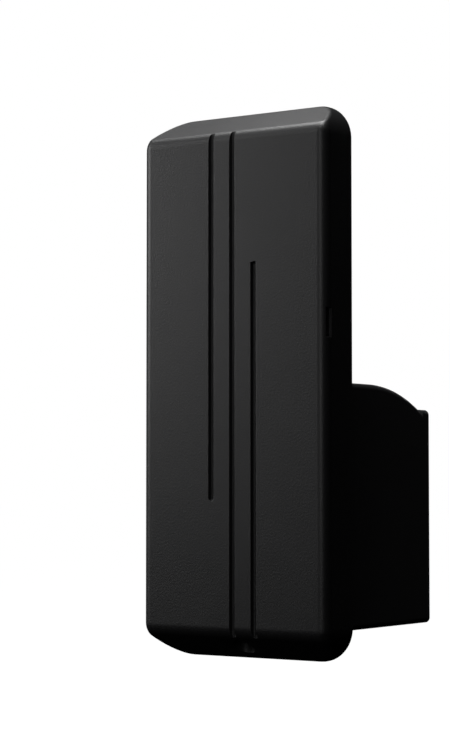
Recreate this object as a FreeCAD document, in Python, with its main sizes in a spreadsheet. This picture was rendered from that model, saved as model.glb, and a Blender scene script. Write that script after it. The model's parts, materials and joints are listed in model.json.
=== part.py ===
import FreeCAD, Part
import math
import os
import Sketcher

# Wall-mount RFID card reader, in millimetres.
# The origin is the centre of the wall plate's wall face: +Y points into the wall and +Z up.

DIMENSIONS = {
    # front cover
    "cover_width": 48.0,
    "cover_height": 118.7,
    "cover_depth": 10.3,
    "cover_wall": 2.0,
    "outline_radius": 7.5,
    "bevel_rise": 5.6,
    "bevel_run": 9.2,
    "bend_radius": 3.0,
    "edge_radius": 0.8,
    "groove_width": 1.3,
    "groove_depth": 1.1,
    "groove_pitch": 5.5,
    "groove_overrun": 3.0,
    "left_groove_gap": 34.0,
    "right_groove_gap": 33.7,
    "pry_slot_length": 6.4,
    "pry_slot_width": 1.4,
    "pry_slot_depth": 0.7,
    "pry_slot_rise": 12.1,
    # back plate and its hinge beads
    "panel_thickness": 2.0,
    "panel_gap": 0.5,
    "seal_thickness": 0.5,
    "seal_width": 1.3,
    "bead_radius": 0.8,
    "bead_length": 8.0,
    "bead_pitch": 26.0,
    "bead_drop": 2.7,
    "bead_inset": 1.6,
    "bead_lift": 0.6,
    "bead_neck": 0.8,
    "hinge_gap": 0.08,
    "lug_wall": 1.0,
    "lug_front": 2.0,
    "lug_drop": 0.3,
    # rear housing
    "housing_width": 43.0,
    "housing_depth": 37.0,
    "housing_wall": 2.2,
    "housing_rise": 6.45,
    "housing_radius": 1.2,
    "hood_radius": 46.0,
    "hood_flat": 12.0,
    "lip_proud": 0.6,
    "column_radius": 3.1,
    "column_bite": 0.6,
    "gasket_inset": 0.2,
    # wall plate
    "plate_height": 47.9,
    "plate_thickness": 2.6,
    "wall_hole_radius": 2.1,
    "wall_hole_pitch": 36.0,
    # cable grommet
    "grommet_radius": 7.2,
    "grommet_neck": 5.8,
    "grommet_flange": 0.9,
    "grommet_nose": 4.0,
    "grommet_lip": 1.0,
    "cable_radius": 3.25,
    "cable_drop": 8.8,
    # circuit boards
    "antenna_width": 40.0,
    "antenna_height": 93.0,
    "antenna_thickness": 1.0,
    "antenna_gap": 1.7,
    "antenna_post_x": 35.0,
    "antenna_post_z": 84.0,
    "antenna_corner": 2.5,
    "post_radius": 2.2,
    "coil_drop": 1.7,
    "coil_margin": 2.0,
    "coil_turns": 6,
    "coil_track": 0.4,
    "coil_pitch": 0.8,
    "coil_thickness": 0.3,
    "ferrite_thickness": 0.4,
    "ferrite_width": 26.0,
    "ferrite_height": 49.0,
    "main_width": 37.6,
    "main_corner": 0.8,
    "main_thickness": 1.6,
    "main_standoff": 6.0,
    "main_post_x": 31.6,
    "main_post_z": 23.0,
    # fasteners
    "screw_radius": 1.25,
    "small_screw_radius": 1.0,
    "head_ratio": 1.85,
    "head_height": 1.2,
    "screw_slack": 0.15,
    "drive_ratio": 0.5,
    "driver_slack": 0.6,
    "insert_radius": 1.9,
    "insert_length": 5.0,
    "insert_relief": 2.0,
    "chassis_screw_length": 7.0,
    "plate_screw_length": 6.5,
    "board_screw_length": 5.5,
    "seat_gap": 0.02,
    "fit_gap": 0.1,
    "overshoot": 1.0,
    # cover screw
    "cover_screw_inset": 5.7,
    "cover_head_recess": 5.9,
    "cover_head_height": 1.6,
    "cover_slot_length": 3.4,
    "cover_slot_width": 0.6,
    "cover_slot_depth": 0.7,
    "boss_floor": 1.8,
    "boss_width": 8.0,
    "boss_reach": 2.9,
    "tab_reach": 1.9,
    "tab_thickness": 1.5,
    "tab_corner": 0.3,
    "tab_gap": 0.3,
    "nut_width": 5.0,
    "nut_height": 1.6,
    # wall tamper switch
    "tamper_rise": 8.4,
    "tamper_stem": 1.5,
    "tamper_travel": 2.2,
    "tamper_collar": 2.3,
    "tamper_collar_length": 1.4,
    "tamper_slide_gap": 0.06,
    "tamper_wall": 1.5,
    "tamper_case_length": 12.0,
    "spring_wire_radius": 0.22,
    "spring_turns": 6,
    # status light
    "light_width": 3.2,
    "light_height": 1.6,
    "light_base": 0.5,
    "lens_width": 2.0,
    "lens_height": 1.4,
    "lens_depth": 0.6,
    # board-to-board connector
    "header_pins": 6,
    "header_pitch": 2.54,
    "header_rise": 8.0,
    "header_base": 2.5,
    "header_split": 0.6,
    "pin_width": 0.64,
    "pin_hole": 0.8,
    "pin_clearance": 1.6,
    "window_margin": 1.0,
    # chips on the front of the main board
    "chip_drop": 3.9,
    "chip_leads": 8,
    "lead_thickness": 0.3,
    "lead_reach": 1.0,
    "lead_share": 0.45,
    "chip_standoff": 0.1,
    "micro_x": -7.5,
    "micro_side": 7.0,
    "micro_height": 1.4,
    "reader_x": 6.0,
    "reader_side": 6.0,
    "reader_height": 1.0,
    "crystal_x": 13.5,
    "crystal_width": 3.2,
    "crystal_height": 8.0,
    "crystal_depth": 2.6,
    # parts on the back of the main board
    "capacitor_x": -2.0,
    "capacitor_pitch": 7.0,
    "capacitor_rise": 5.5,
    "capacitor_base": 6.6,
    "capacitor_foot": 0.8,
    "capacitor_radius": 3.1,
    "capacitor_length": 5.0,
    "regulator_x": -12.0,
    "regulator_rise": 4.8,
    "regulator_width": 6.4,
    "regulator_height": 6.0,
    "regulator_depth": 2.2,
    "regulator_tab_width": 5.2,
    "regulator_tab_height": 1.6,
    "regulator_leg_width": 0.8,
    "regulator_leg_height": 1.9,
    "regulator_leg_pitch": 4.4,
    "regulator_sheet": 0.6,
    "buzzer_x": 10.5,
    "buzzer_rise": 6.6,
    "buzzer_radius": 4.5,
    "buzzer_depth": 5.5,
    "buzzer_port": 1.0,
    "buzzer_port_depth": 0.8,
    # wiring terminals
    "terminal_ways": 6,
    "terminal_pitch": 3.5,
    "terminal_depth": 7.4,
    "terminal_height": 7.6,
    "terminal_edge": 0.4,
    "terminal_wall": 1.0,
    "terminal_floor": 0.6,
    "terminal_mouth_depth": 4.4,
    "terminal_well_wall": 0.35,
    "terminal_well_rise": 1.0,
    "terminal_web": 0.4,
    "terminal_screw_gap": 0.15,
    "terminal_screw_height": 1.6,
    "terminal_slot_width": 0.5,
    "terminal_slot_depth": 0.5,
    # address switch
    "switch_ways": 4,
    "switch_pitch": 2.54,
    "switch_x": -1.0,
    "switch_drop": 11.4,
    "switch_height": 6.0,
    "switch_depth": 3.0,
    "switch_edge": 0.6,
    "slider_travel": 1.2,
    "slider_width": 1.0,
    "slider_length": 2.0,
    "slider_proud": 0.5,
    "slider_gap": 0.15,
    "slider_end_gap": 0.3,
}

MEMBER_NODES = []
doc = FreeCAD.newDocument("card_reader")
sheet = doc.addObject("Spreadsheet::Sheet", "Sizes")


class Size:
    """A value together with the spreadsheet expression that gives it."""

    def __init__(self, value, text):
        self.value = float(value)
        self.text = text

    def __add__(self, other):
        other = as_size(other)
        return Size(self.value + other.value, f"({self.text} + {other.text})")

    def __sub__(self, other):
        other = as_size(other)
        return Size(self.value - other.value, f"({self.text} - {other.text})")

    def __mul__(self, other):
        other = as_size(other)
        return Size(self.value * other.value, f"({self.text} * {other.text})")

    def __truediv__(self, other):
        other = as_size(other)
        return Size(self.value / other.value, f"({self.text} / {other.text})")

    def __radd__(self, other):
        return as_size(other) + self

    def __rsub__(self, other):
        return as_size(other) - self

    def __rmul__(self, other):
        return as_size(other) * self

    def __neg__(self):
        return Size(-self.value, f"(-1 * {self.text})")

    def root(self):
        """Return the square root."""
        return Size(math.sqrt(self.value), f"sqrt({self.text})")


def as_size(number):
    """Return a plain number as a Size, and a Size as it is."""
    return number if isinstance(number, Size) else Size(number, repr(float(number)))


class Sizes:
    """The named sizes, each an attribute."""


def fill_sheet():
    """Write the driving dimensions into the sheet and return them as named sizes."""
    named = Sizes()
    for row, (alias, number) in enumerate(DIMENSIONS.items(), 1):
        sheet.set(f"A{row}", alias)
        sheet.set(f"B{row}", str(number))
        sheet.setAlias(f"B{row}", alias)
        setattr(named, alias, Size(number, f"Sizes.{alias}"))
    doc.recompute()
    return named


S = fill_sheet()

# Places that several pieces share.
rear_y = -S.housing_depth
front_y = rear_y - S.cover_depth
panel_y = rear_y - S.panel_thickness
bottom_z = -S.plate_height / 2 - S.housing_rise
top_z = bottom_z + S.cover_height
middle_z = bottom_z + S.cover_height / 2
bevel_slope = S.bevel_rise / S.bevel_run
bevel_slant = (S.bevel_rise * S.bevel_rise + S.bevel_run * S.bevel_run).root()
bevel_skin = S.cover_wall * bevel_slant / S.bevel_run
seat_y = panel_y - S.seal_thickness - S.fit_gap
cavity_height = S.cover_height - 2 * S.cover_wall
cavity_front_height = S.cover_height - 2 * (S.bevel_rise - bevel_slope * S.cover_wall + bevel_skin)
bead_y = rear_y - S.bead_inset
bead_z = top_z - S.bead_drop
panel_top_z = bead_z - S.bead_radius - S.bead_lift
panel_bottom_z = bottom_z + S.cover_wall + S.panel_gap
panel_width = S.cover_width - 2 * S.cover_wall - 2 * S.panel_gap
panel_height = panel_top_z - panel_bottom_z
panel_z = (panel_top_z + panel_bottom_z) / 2
housing_front_y = rear_y + S.seal_thickness
plate_y = -S.plate_thickness
hood_end_z = S.plate_height / 2 - S.lip_proud
hood_run = S.housing_depth - S.seal_thickness - S.plate_thickness - S.hood_flat
hood_drop = S.hood_radius - (S.hood_radius * S.hood_radius - hood_run * hood_run).root()
hood_z = hood_end_z + hood_drop
column_inset = S.housing_wall + S.column_radius - S.column_bite
column_x = S.housing_width / 2 - column_inset
column_top_z = hood_end_z - column_inset
column_bottom_z = -S.plate_height / 2 + column_inset
column_middle_z = (column_top_z + column_bottom_z) / 2
antenna_front_y = front_y + S.cover_wall + S.antenna_gap
antenna_rear_y = antenna_front_y + S.antenna_thickness
main_front_y = rear_y + S.main_standoff
main_rear_y = main_front_y + S.main_thickness
main_height = column_top_z - column_bottom_z - 2 * (S.column_radius + S.driver_slack)
cover_screw_y = rear_y - S.cover_screw_inset
recess_z = bottom_z + S.cover_head_recess
boss_top_z = recess_z + S.boss_floor
tab_z = boss_top_z + S.tab_gap
nut_z = tab_z + S.tab_thickness + S.tab_gap
cable_z = -S.cable_drop
tamper_z = S.tamper_rise
header_z = column_middle_z + S.header_rise
header_width = S.header_pitch * S.header_pins
coil_z = middle_z + S.antenna_height / 2 - S.coil_drop - (S.ferrite_height + S.coil_margin) / 2


def bind(thing, name, number):
    """Tie a property to the sheet."""
    thing.setExpression(name, as_size(number).text)


def put(thing, place, turn=None):
    """Place an object, its three coordinates tied to the sheet."""
    if turn:
        axis, angle = turn
        rotation = FreeCAD.Rotation(FreeCAD.Vector(*axis), angle)
        thing.Placement = FreeCAD.Placement(FreeCAD.Vector(), rotation)
    for axis, number in zip("xyz", place):
        bind(thing, f"Placement.Base.{axis}", number)
    return thing


TURNS = {"y": ((1, 0, 0), -90), "-y": ((1, 0, 0), 90), "z": None, "-z": ((1, 0, 0), 180)}


def box(place, extent):
    """Make a box centred on place in X and Z that runs in +Y from it."""
    thing = doc.addObject("Part::Box", "box")
    for name, number in zip(("Length", "Width", "Height"), extent):
        bind(thing, name, number)
    x, y, z = place
    return put(thing, (x - extent[0] / 2, y, z - extent[2] / 2))


def rod(place, radius, length, along="y"):
    """Make a cylinder that starts at place and runs along an axis."""
    thing = doc.addObject("Part::Cylinder", "rod")
    bind(thing, "Radius", radius)
    bind(thing, "Height", length)
    return put(thing, place, TURNS[along])


def taper(place, radius, end_radius, length, along="y"):
    """Make a cone that starts at place and runs along an axis."""
    thing = doc.addObject("Part::Cone", "taper")
    bind(thing, "Radius1", radius)
    bind(thing, "Radius2", end_radius)
    bind(thing, "Height", length)
    return put(thing, place, TURNS[along])


def fuse(*things):
    """Join objects into one solid."""
    if len(things) == 1:
        return things[0]
    joined = doc.addObject("Part::MultiFuse", "joined")
    joined.Shapes = list(things)
    joined.Refine = True
    return joined


def cut(base, *tools):
    """Take the tools away from the base."""
    left = doc.addObject("Part::Cut", "left")
    left.Base = base
    left.Tool = fuse(*tools)
    return left


def node(label, *things):
    """Name a piece; several solids become one group."""
    if len(things) == 1:
        piece = things[0]
    else:
        piece = doc.addObject("Part::Compound", "group")
        piece.Links = list(things)
    piece.Label = label
    MEMBER_NODES.append(piece)
    return piece


class Body:
    """A PartDesign body whose sketches lie across Y, or across X for side profiles."""

    def __init__(self, label):
        self.body = doc.addObject("PartDesign::Body", label)
        self.body.Label = label
        self.label = label
        MEMBER_NODES.append(self.body)

    def sketch(self, role, shift):
        """Add an empty sketch on an origin plane, shifted by three tied distances."""
        drawing = self.body.newObject("Sketcher::SketchObject", "sketch")
        plane = [part for part in self.body.Origin.OriginFeatures if part.Role == role][0]
        drawing.AttachmentSupport = [(plane, "")]
        drawing.MapMode = "FlatFace"
        for axis, number in zip("xyz", shift):
            bind(drawing, f"AttachmentOffset.Base.{axis}", number)
        return drawing

    def outline(self, centre, y, width, height, radius):
        """Sketch a rounded rectangle about a centre in X and Z, at a given Y."""
        drawing = self.sketch("XZ_Plane", (centre[0], centre[1], -as_size(y)))
        draw_rounded(drawing, as_size(width), as_size(height), as_size(radius))
        return drawing

    def circles(self, centres, y, radius):
        """Sketch equal circles at centres in X and Z, at a given Y."""
        drawing = self.sketch("XZ_Plane", (0, 0, -as_size(y)))
        for x, z in centres:
            draw_circle(drawing, as_size(x), as_size(z), as_size(radius))
        return drawing

    def add(self, kind, drawing, length, **settings):
        """Add a pad or pocket of a tied length, and check that it changed the volume."""
        before = self.volume()
        feature = self.body.newObject(f"PartDesign::{kind}", kind.lower())
        feature.Profile = drawing
        for name, setting in settings.items():
            setattr(feature, name, setting)
        bind(feature, "Length", length)
        doc.recompute()
        if abs(self.volume() - before) < 0.01:
            raise ValueError(f"{self.label}: {feature.Name} changes nothing")
        return feature

    def volume(self):
        """Return the body's volume so far."""
        return 0.0 if self.body.Tip is None or self.body.Shape.isNull() else self.body.Shape.Volume

    def pad(self, drawing, length, **settings):
        """Pad towards -Y (towards +X for a side profile)."""
        return self.add("Pad", drawing, length, **settings)

    def pocket(self, drawing, length, **settings):
        """Cut towards +Y (towards -X for a side profile)."""
        return self.add("Pocket", drawing, length, **settings)

    def fillet(self, radius, chosen):
        """Round the edges that the test picks."""
        tip = self.body.Tip
        names = [f"Edge{i}" for i, edge in enumerate(tip.Shape.Edges, 1) if chosen(edge)]
        feature = self.body.newObject("PartDesign::Fillet", "round")
        feature.Base = (tip, names)
        bind(feature, "Radius", radius)
        doc.recompute()
        return feature


def draw_rounded(drawing, width, height, radius):
    """Draw a rounded rectangle about the sketch's origin."""
    x, z, r = width.value / 2, height.value / 2, radius.value
    corners = [(1, -1), (1, 1), (-1, 1), (-1, -1)]
    ends = [((r - x, -z), (x - r, -z)), ((x, r - z), (x, z - r)),
            ((x - r, z), (r - x, z)), ((-x, z - r), (-x, r - z))]
    for quarter, ((side, rise), (start, end)) in enumerate(zip(corners, ends)):
        drawing.addGeometry(Part.LineSegment(FreeCAD.Vector(*start, 0), FreeCAD.Vector(*end, 0)))
        middle = FreeCAD.Vector(side * (x - r), rise * (z - r), 0)
        turn = math.pi / 2 * (quarter - 1)
        circle = Part.Circle(middle, FreeCAD.Vector(0, 0, 1), r)
        drawing.addGeometry(Part.ArcOfCircle(circle, turn, turn + math.pi / 2))
    for item in range(8):
        drawing.addConstraint(Sketcher.Constraint("Tangent", item, 2, (item + 1) % 8, 1))
    for item, kind in enumerate(("Horizontal", "Vertical", "Horizontal", "Vertical")):
        drawing.addConstraint(Sketcher.Constraint(kind, 2 * item))
    for arc in (3, 5, 7):
        drawing.addConstraint(Sketcher.Constraint("Equal", 1, arc))
    drawing.addConstraint(Sketcher.Constraint("Symmetric", 0, 1, 4, 1, -1, 1))
    tie(drawing, Sketcher.Constraint("DistanceX", 6, 1, 2, 1, 2 * x), width)
    tie(drawing, Sketcher.Constraint("DistanceY", 0, 1, 4, 1, 2 * z), height)
    tie(drawing, Sketcher.Constraint("Radius", 1, r), radius)


def draw_circle(drawing, x, z, radius):
    """Draw a circle whose centre and radius are tied."""
    centre = FreeCAD.Vector(x.value, z.value, 0)
    item = drawing.addGeometry(Part.Circle(centre, FreeCAD.Vector(0, 0, 1), radius.value))
    tie(drawing, Sketcher.Constraint("Radius", item, radius.value), radius)
    tie_point(drawing, item, 3, x, z)


def draw_polygon(drawing, corners, arcs=None):
    """Draw a closed outline with tied corners; arcs gives a centre and radius for chosen sides."""
    points = [FreeCAD.Vector(as_size(u).value, as_size(v).value, 0) for u, v in corners]
    starts = {}
    for item, (start, end) in enumerate(zip(points, points[1:] + points[:1])):
        starts[item] = 1
        if item in (arcs or {}):
            y, z, radius = arcs[item]
            starts[item] = draw_arc(drawing, FreeCAD.Vector(y.value, z.value, 0), radius.value, start, end)
            tie(drawing, Sketcher.Constraint("Radius", item, radius.value), radius)
        else:
            drawing.addGeometry(Part.LineSegment(start, end))
    for item, (u, v) in enumerate(corners):
        following = (item + 1) % len(corners)
        joint = (item, 3 - starts[item], following, starts[following])
        drawing.addConstraint(Sketcher.Constraint("Coincident", *joint))
        tie_point(drawing, item, starts[item], as_size(u), as_size(v))


def draw_arc(drawing, centre, radius, start, end):
    """Draw the short arc between two points and tell which of its ends is the start."""
    angles = [math.atan2(point.y - centre.y, point.x - centre.x) for point in (start, end)]
    turn = (angles[1] - angles[0]) % (2 * math.pi)
    forward = turn < math.pi
    first, last = angles if forward else angles[::-1]
    if last < first:
        last += 2 * math.pi
    circle = Part.Circle(centre, FreeCAD.Vector(0, 0, 1), radius)
    drawing.addGeometry(Part.ArcOfCircle(circle, first, last))
    return 1 if forward else 2


def tie(drawing, constraint, number):
    """Add a dimension and tie it to the sheet."""
    index = drawing.addConstraint(constraint)
    drawing.setExpression(f"Constraints[{index}]", number.text)


def tie_point(drawing, item, end, x, z):
    """Fix a point at a tied place, which may lie on an axis."""
    for kind, number, axis in (("DistanceX", x, -2), ("DistanceY", z, -1)):
        if abs(number.value) < 1e-9:
            drawing.addConstraint(Sketcher.Constraint("PointOnObject", item, end, axis))
        else:
            tie(drawing, Sketcher.Constraint(kind, -1, 1, item, end, number.value), number)


def pairs(x, z, middle=0):
    """Return the four corners of a rectangle x by z about a height."""
    return [(side * x / 2, middle + rise * z / 2) for side in (-1, 1) for rise in (-1, 1)]


def near(number, place):
    """Tell whether a coordinate is at a place, within a hundredth of a millimetre."""
    return abs(number - as_size(place).value) < 0.01


def level(edge):
    """Tell whether an edge keeps one X, so that it lies in a plane parallel to the sides."""
    return near(edge.BoundBox.XMin, edge.BoundBox.XMax)


def front_cover():
    """Moulded shell with sloping ends, rounded edges and three staggered grooves."""
    cover = Body("front_cover")
    middle = (0, middle_z)
    slab = cover.outline(middle, rear_y, S.cover_width, S.cover_height, S.outline_radius)
    cover.pad(slab, S.cover_depth)
    bevel(cover, top_z, 1)
    bevel(cover, bottom_z, -1)
    side_x = S.cover_width / 2
    cover.fillet(S.edge_radius, lambda edge: level(edge) and near(edge.BoundBox.YMax, front_y)
                 and near(abs(edge.BoundBox.XMax), side_x))
    hollow(cover, middle)
    grooves(cover)
    pry_slot(cover)
    hinge_lugs(cover)
    screw_boss(cover)


def bevel(cover, end_z, up):
    """Slope one end of the cover (up is 1 at the top, -1 at the bottom) with a rounded bend."""
    tangent = S.bend_radius * (bevel_slant - S.bevel_rise) / S.bevel_run
    bend_z = end_z - up * S.bevel_rise
    face_z = bend_z - up * tangent
    slope_start = (front_y + tangent * S.bevel_run / bevel_slant,
                   bend_z + up * tangent * S.bevel_rise / bevel_slant)
    corners = [(front_y, end_z), (front_y, face_z), slope_start, (front_y + S.bevel_run, end_z)]
    profile = cover.sketch("YZ_Plane", (0, 0, 0))
    draw_polygon(profile, corners, arcs={1: (front_y + S.bend_radius, face_z, S.bend_radius)})
    cover.pocket(profile, S.cover_width, Midplane=True)


def hollow(cover, middle):
    """Hollow the cover: straight where the back plate sits, then sloping in with its ends."""
    radius = S.outline_radius - S.cover_wall
    width = S.cover_width - 2 * S.cover_wall
    seat = cover.outline(middle, seat_y, width, cavity_height, radius)
    cover.pocket(seat, rear_y - seat_y)
    back = cover.outline(middle, seat_y, width, cavity_height, radius)
    front = cover.outline(middle, front_y + S.cover_wall, width, cavity_front_height, radius)
    loft = cover.body.newObject("PartDesign::SubtractiveLoft", "cavity")
    loft.Profile = back
    loft.Sections = [front]
    loft.Ruled = True
    doc.recompute()


def grooves(cover):
    """Cut the three grooves: the outer two stop short, one at each end."""
    top = top_z - S.bevel_rise + S.groove_overrun
    bottom = bottom_z + S.bevel_rise - S.groove_overrun
    left_end = bottom_z + S.left_groove_gap
    right_end = top_z - S.right_groove_gap
    runs = [(-S.groove_pitch, left_end, top), (as_size(0), bottom, top), (S.groove_pitch, bottom, right_end)]
    end_radius = S.groove_width / 2 - S.seat_gap
    for x, low, high in runs:
        line = cover.outline((x, (low + high) / 2), front_y, S.groove_width, high - low, end_radius)
        cover.pocket(line, S.groove_depth)
    floor = front_y + S.groove_depth
    cover.fillet(S.groove_width / 4, lambda edge: near(edge.BoundBox.YMin, floor)
                 and near(edge.BoundBox.YMax, floor) and edge.Length > S.cover_height.value / 2)


def pry_slot(cover):
    """Cut the shallow slot in the right side, just behind the front edge."""
    centre = (S.cover_width / 2, middle_z + S.pry_slot_rise)
    depth = S.pry_slot_depth
    tool = cover.outline(centre, front_y + S.edge_radius, 2 * depth, S.pry_slot_length, depth / 2)
    cover.pocket(tool, S.pry_slot_width)


def hinge_lugs(cover):
    """Add the two lugs that hang over the back plate's hinge beads."""
    low = bead_z - S.lug_drop
    high = top_z - S.cover_wall + S.hinge_gap
    depth = S.lug_front + S.bead_inset - S.seat_gap
    for side in (-1, 1):
        x = side * S.bead_pitch / 2
        width = S.bead_length + 2 * S.lug_wall
        centre = (x, (low + high) / 2)
        rear = bead_y - S.lug_front + depth
        cover.pad(cover.outline(centre, rear, width, high - low, S.bead_neck / 2), depth)
        hole = cover.sketch("YZ_Plane", (0, 0, x))
        draw_circle(hole, bead_y, bead_z, S.bead_radius + S.hinge_gap)
        cover.pocket(hole, S.bead_length + 2 * S.hinge_gap, Midplane=True)


def screw_boss(cover):
    """Add the boss for the cover screw, with its recess from below."""
    block = cover.sketch("YZ_Plane", (0, 0, 0))
    ends = (cover_screw_y - S.boss_reach, cover_screw_y + S.boss_reach)
    skin = [bottom_z + S.bevel_rise - (y - front_y) * bevel_slope + S.cover_wall / 2 for y in ends]
    feet = list(zip(ends, skin))
    draw_polygon(block, feet + [(y, boss_top_z) for y in reversed(ends)])
    cover.pad(block, S.boss_width, Midplane=True)
    recess = cover.sketch("XY_Plane", (0, cover_screw_y, bottom_z))
    draw_circle(recess, as_size(0), as_size(0), S.screw_radius * S.head_ratio + S.screw_slack)
    cover.pocket(recess, S.cover_head_recess, Reversed=True)
    hole = cover.sketch("XY_Plane", (0, cover_screw_y, bottom_z))
    draw_circle(hole, as_size(0), as_size(0), S.screw_radius + S.screw_slack)
    cover.pocket(hole, boss_top_z - bottom_z + S.overshoot, Reversed=True)


def cover_fastener():
    """Make the captive cover screw and its square nut."""
    seat = (0, cover_screw_y, recess_z)
    head = rod(seat, S.screw_radius * S.head_ratio, S.cover_head_height, "-z")
    shank = rod(seat, S.screw_radius, nut_z + S.nut_height + S.tab_gap - recess_z, "z")
    slot_z = recess_z - S.cover_head_height + S.cover_slot_depth / 2
    slot_place = (0, cover_screw_y - S.cover_slot_width / 2, slot_z)
    slot = box(slot_place, (S.cover_slot_length, S.cover_slot_width, S.cover_slot_depth))
    node("cover_screw", cut(fuse(head, shank), slot))
    nut_place = (0, cover_screw_y - S.nut_width / 2, nut_z + S.nut_height / 2)
    blank = box(nut_place, (S.nut_width, S.nut_width, S.nut_height))
    start = (0, cover_screw_y, nut_z - S.overshoot)
    bore = rod(start, S.screw_radius + S.seat_gap, S.nut_height + 2 * S.overshoot, "z")
    node("cover_nut", cut(blank, bore))


def back_plate():
    """Panel inside the cover's skirt, with hinge beads, posts and the notched tab."""
    plate = Body("back_plate")
    inner = S.outline_radius - S.cover_wall - S.panel_gap
    plate.pad(plate.outline((0, panel_z), rear_y, panel_width, panel_height, inner), S.panel_thickness)
    posts = pairs(S.antenna_post_x, S.antenna_post_z, middle_z)
    plate.pad(plate.circles(posts, panel_y, S.post_radius), panel_y - antenna_rear_y)
    feet = pairs(S.main_post_x, S.main_post_z, column_middle_z)
    plate.pad(plate.circles(feet, main_front_y, S.post_radius), S.main_standoff)
    hinge_beads(plate)
    reach = S.cover_screw_inset + S.tab_reach - S.panel_thickness
    tab_middle = (0, tab_z + S.tab_thickness / 2)
    plate.pad(plate.outline(tab_middle, panel_y, S.boss_width, S.tab_thickness, S.tab_corner), reach)
    notch = plate.sketch("XY_Plane", (0, cover_screw_y, tab_z))
    half = S.screw_radius + S.screw_slack
    open_end = -S.cover_screw_inset
    draw_polygon(notch, [(-half, half), (half, half), (half, open_end), (-half, open_end)])
    plate.pocket(notch, S.tab_thickness + S.overshoot, Reversed=True)
    margin = S.window_margin
    opening = (header_width + 2 * margin, S.header_pitch + 3 * margin)
    plate.pocket(plate.outline((0, header_z), panel_y, *opening, margin), S.panel_thickness)
    holes = plate.circles(column_places(), panel_y, S.screw_radius + S.screw_slack)
    plate.pocket(holes, S.panel_thickness)
    bores = plate.circles(posts, antenna_rear_y, S.small_screw_radius + S.seat_gap)
    plate.pocket(bores, S.board_screw_length)
    bores = plate.circles(feet, main_front_y, S.small_screw_radius + S.seat_gap)
    plate.pocket(bores, S.board_screw_length, Reversed=True)


def hinge_beads(plate):
    """Add the two rounded beads along the panel's top edge."""
    for side in (-1, 1):
        x = side * S.bead_pitch / 2
        neck = plate.sketch("YZ_Plane", (0, 0, x))
        front, rear = bead_y - S.bead_neck / 2, bead_y + S.bead_neck / 2
        low = panel_top_z - S.overshoot
        draw_polygon(neck, [(front, low), (rear, low), (rear, bead_z), (front, bead_z)])
        plate.pad(neck, S.bead_length, Midplane=True)
        bead = plate.sketch("YZ_Plane", (0, 0, x))
        draw_circle(bead, bead_y, bead_z, S.bead_radius)
        plate.pad(bead, S.bead_length, Midplane=True)


def column_places():
    """Return the X and Z of the housing's four screw columns."""
    return [(side * column_x, z) for side in (-1, 1) for z in (column_bottom_z, column_top_z)]


def cover_gasket():
    """Flat seal around the back plate's front face."""
    seal = Body("cover_gasket")
    radius = S.outline_radius - S.cover_wall - S.panel_gap
    centre = (0, panel_z)
    seal.pad(seal.outline(centre, panel_y, panel_width, panel_height, radius), S.seal_thickness)
    inner = seal.outline(centre, panel_y - S.seal_thickness, panel_width - 2 * S.seal_width,
                         panel_height - 2 * S.seal_width, radius - S.seal_width)
    seal.pocket(inner, S.seal_thickness)


def side_profile(body, inset, low_z, front, rear):
    """Sketch the hooded side profile of the housing, moved in by a wall."""
    drawing = body.sketch("YZ_Plane", (0, 0, 0))
    flat_end = front + S.hood_flat
    top = hood_z - inset
    rear_top = hood_end_z - inset
    corners = [(front, low_z), (rear, low_z), (rear, rear_top), (flat_end, top), (front, top)]
    draw_polygon(drawing, corners, arcs={2: (flat_end, top - S.hood_radius, S.hood_radius)})
    return drawing


def rear_housing():
    """Wiring housing with a hooded top and four screw columns, open front and back."""
    housing = Body("rear_housing")
    low = -S.plate_height / 2
    profile = side_profile(housing, as_size(0), low, housing_front_y, plate_y)
    housing.pad(profile, S.housing_width, Midplane=True)
    shortest = S.hood_flat.value / 2
    housing.fillet(S.housing_radius, lambda edge: level(edge) and edge.BoundBox.YLength > shortest)
    inside = side_profile(housing, S.housing_wall, low + S.housing_wall, housing_front_y, plate_y)
    housing.pocket(inside, S.housing_width - 2 * S.housing_wall, Midplane=True)
    length = S.housing_depth - S.seal_thickness - S.plate_thickness
    housing.pad(housing.circles(column_places(), plate_y, S.column_radius), length)
    depth = S.insert_length + S.insert_relief
    bore = S.insert_radius + S.seat_gap
    housing.pocket(housing.circles(column_places(), housing_front_y, bore), depth)
    housing.pocket(housing.circles(column_places(), plate_y, bore), depth, Reversed=True)


def housing_gasket():
    """Seal between the housing's front edge and the back plate."""
    seal = Body("housing_gasket")
    low = -S.plate_height / 2
    centre = (0, (hood_z + low) / 2)
    width, height = S.housing_width - 2 * S.gasket_inset, hood_z - low - 2 * S.gasket_inset
    seal.pad(seal.outline(centre, housing_front_y, width, height, S.housing_radius), S.seal_thickness)
    rim = 2 * (S.housing_wall - S.gasket_inset)
    inner = seal.outline(centre, rear_y, width - rim, height - rim, S.housing_radius / 2)
    seal.pocket(inner, S.seal_thickness)


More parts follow.
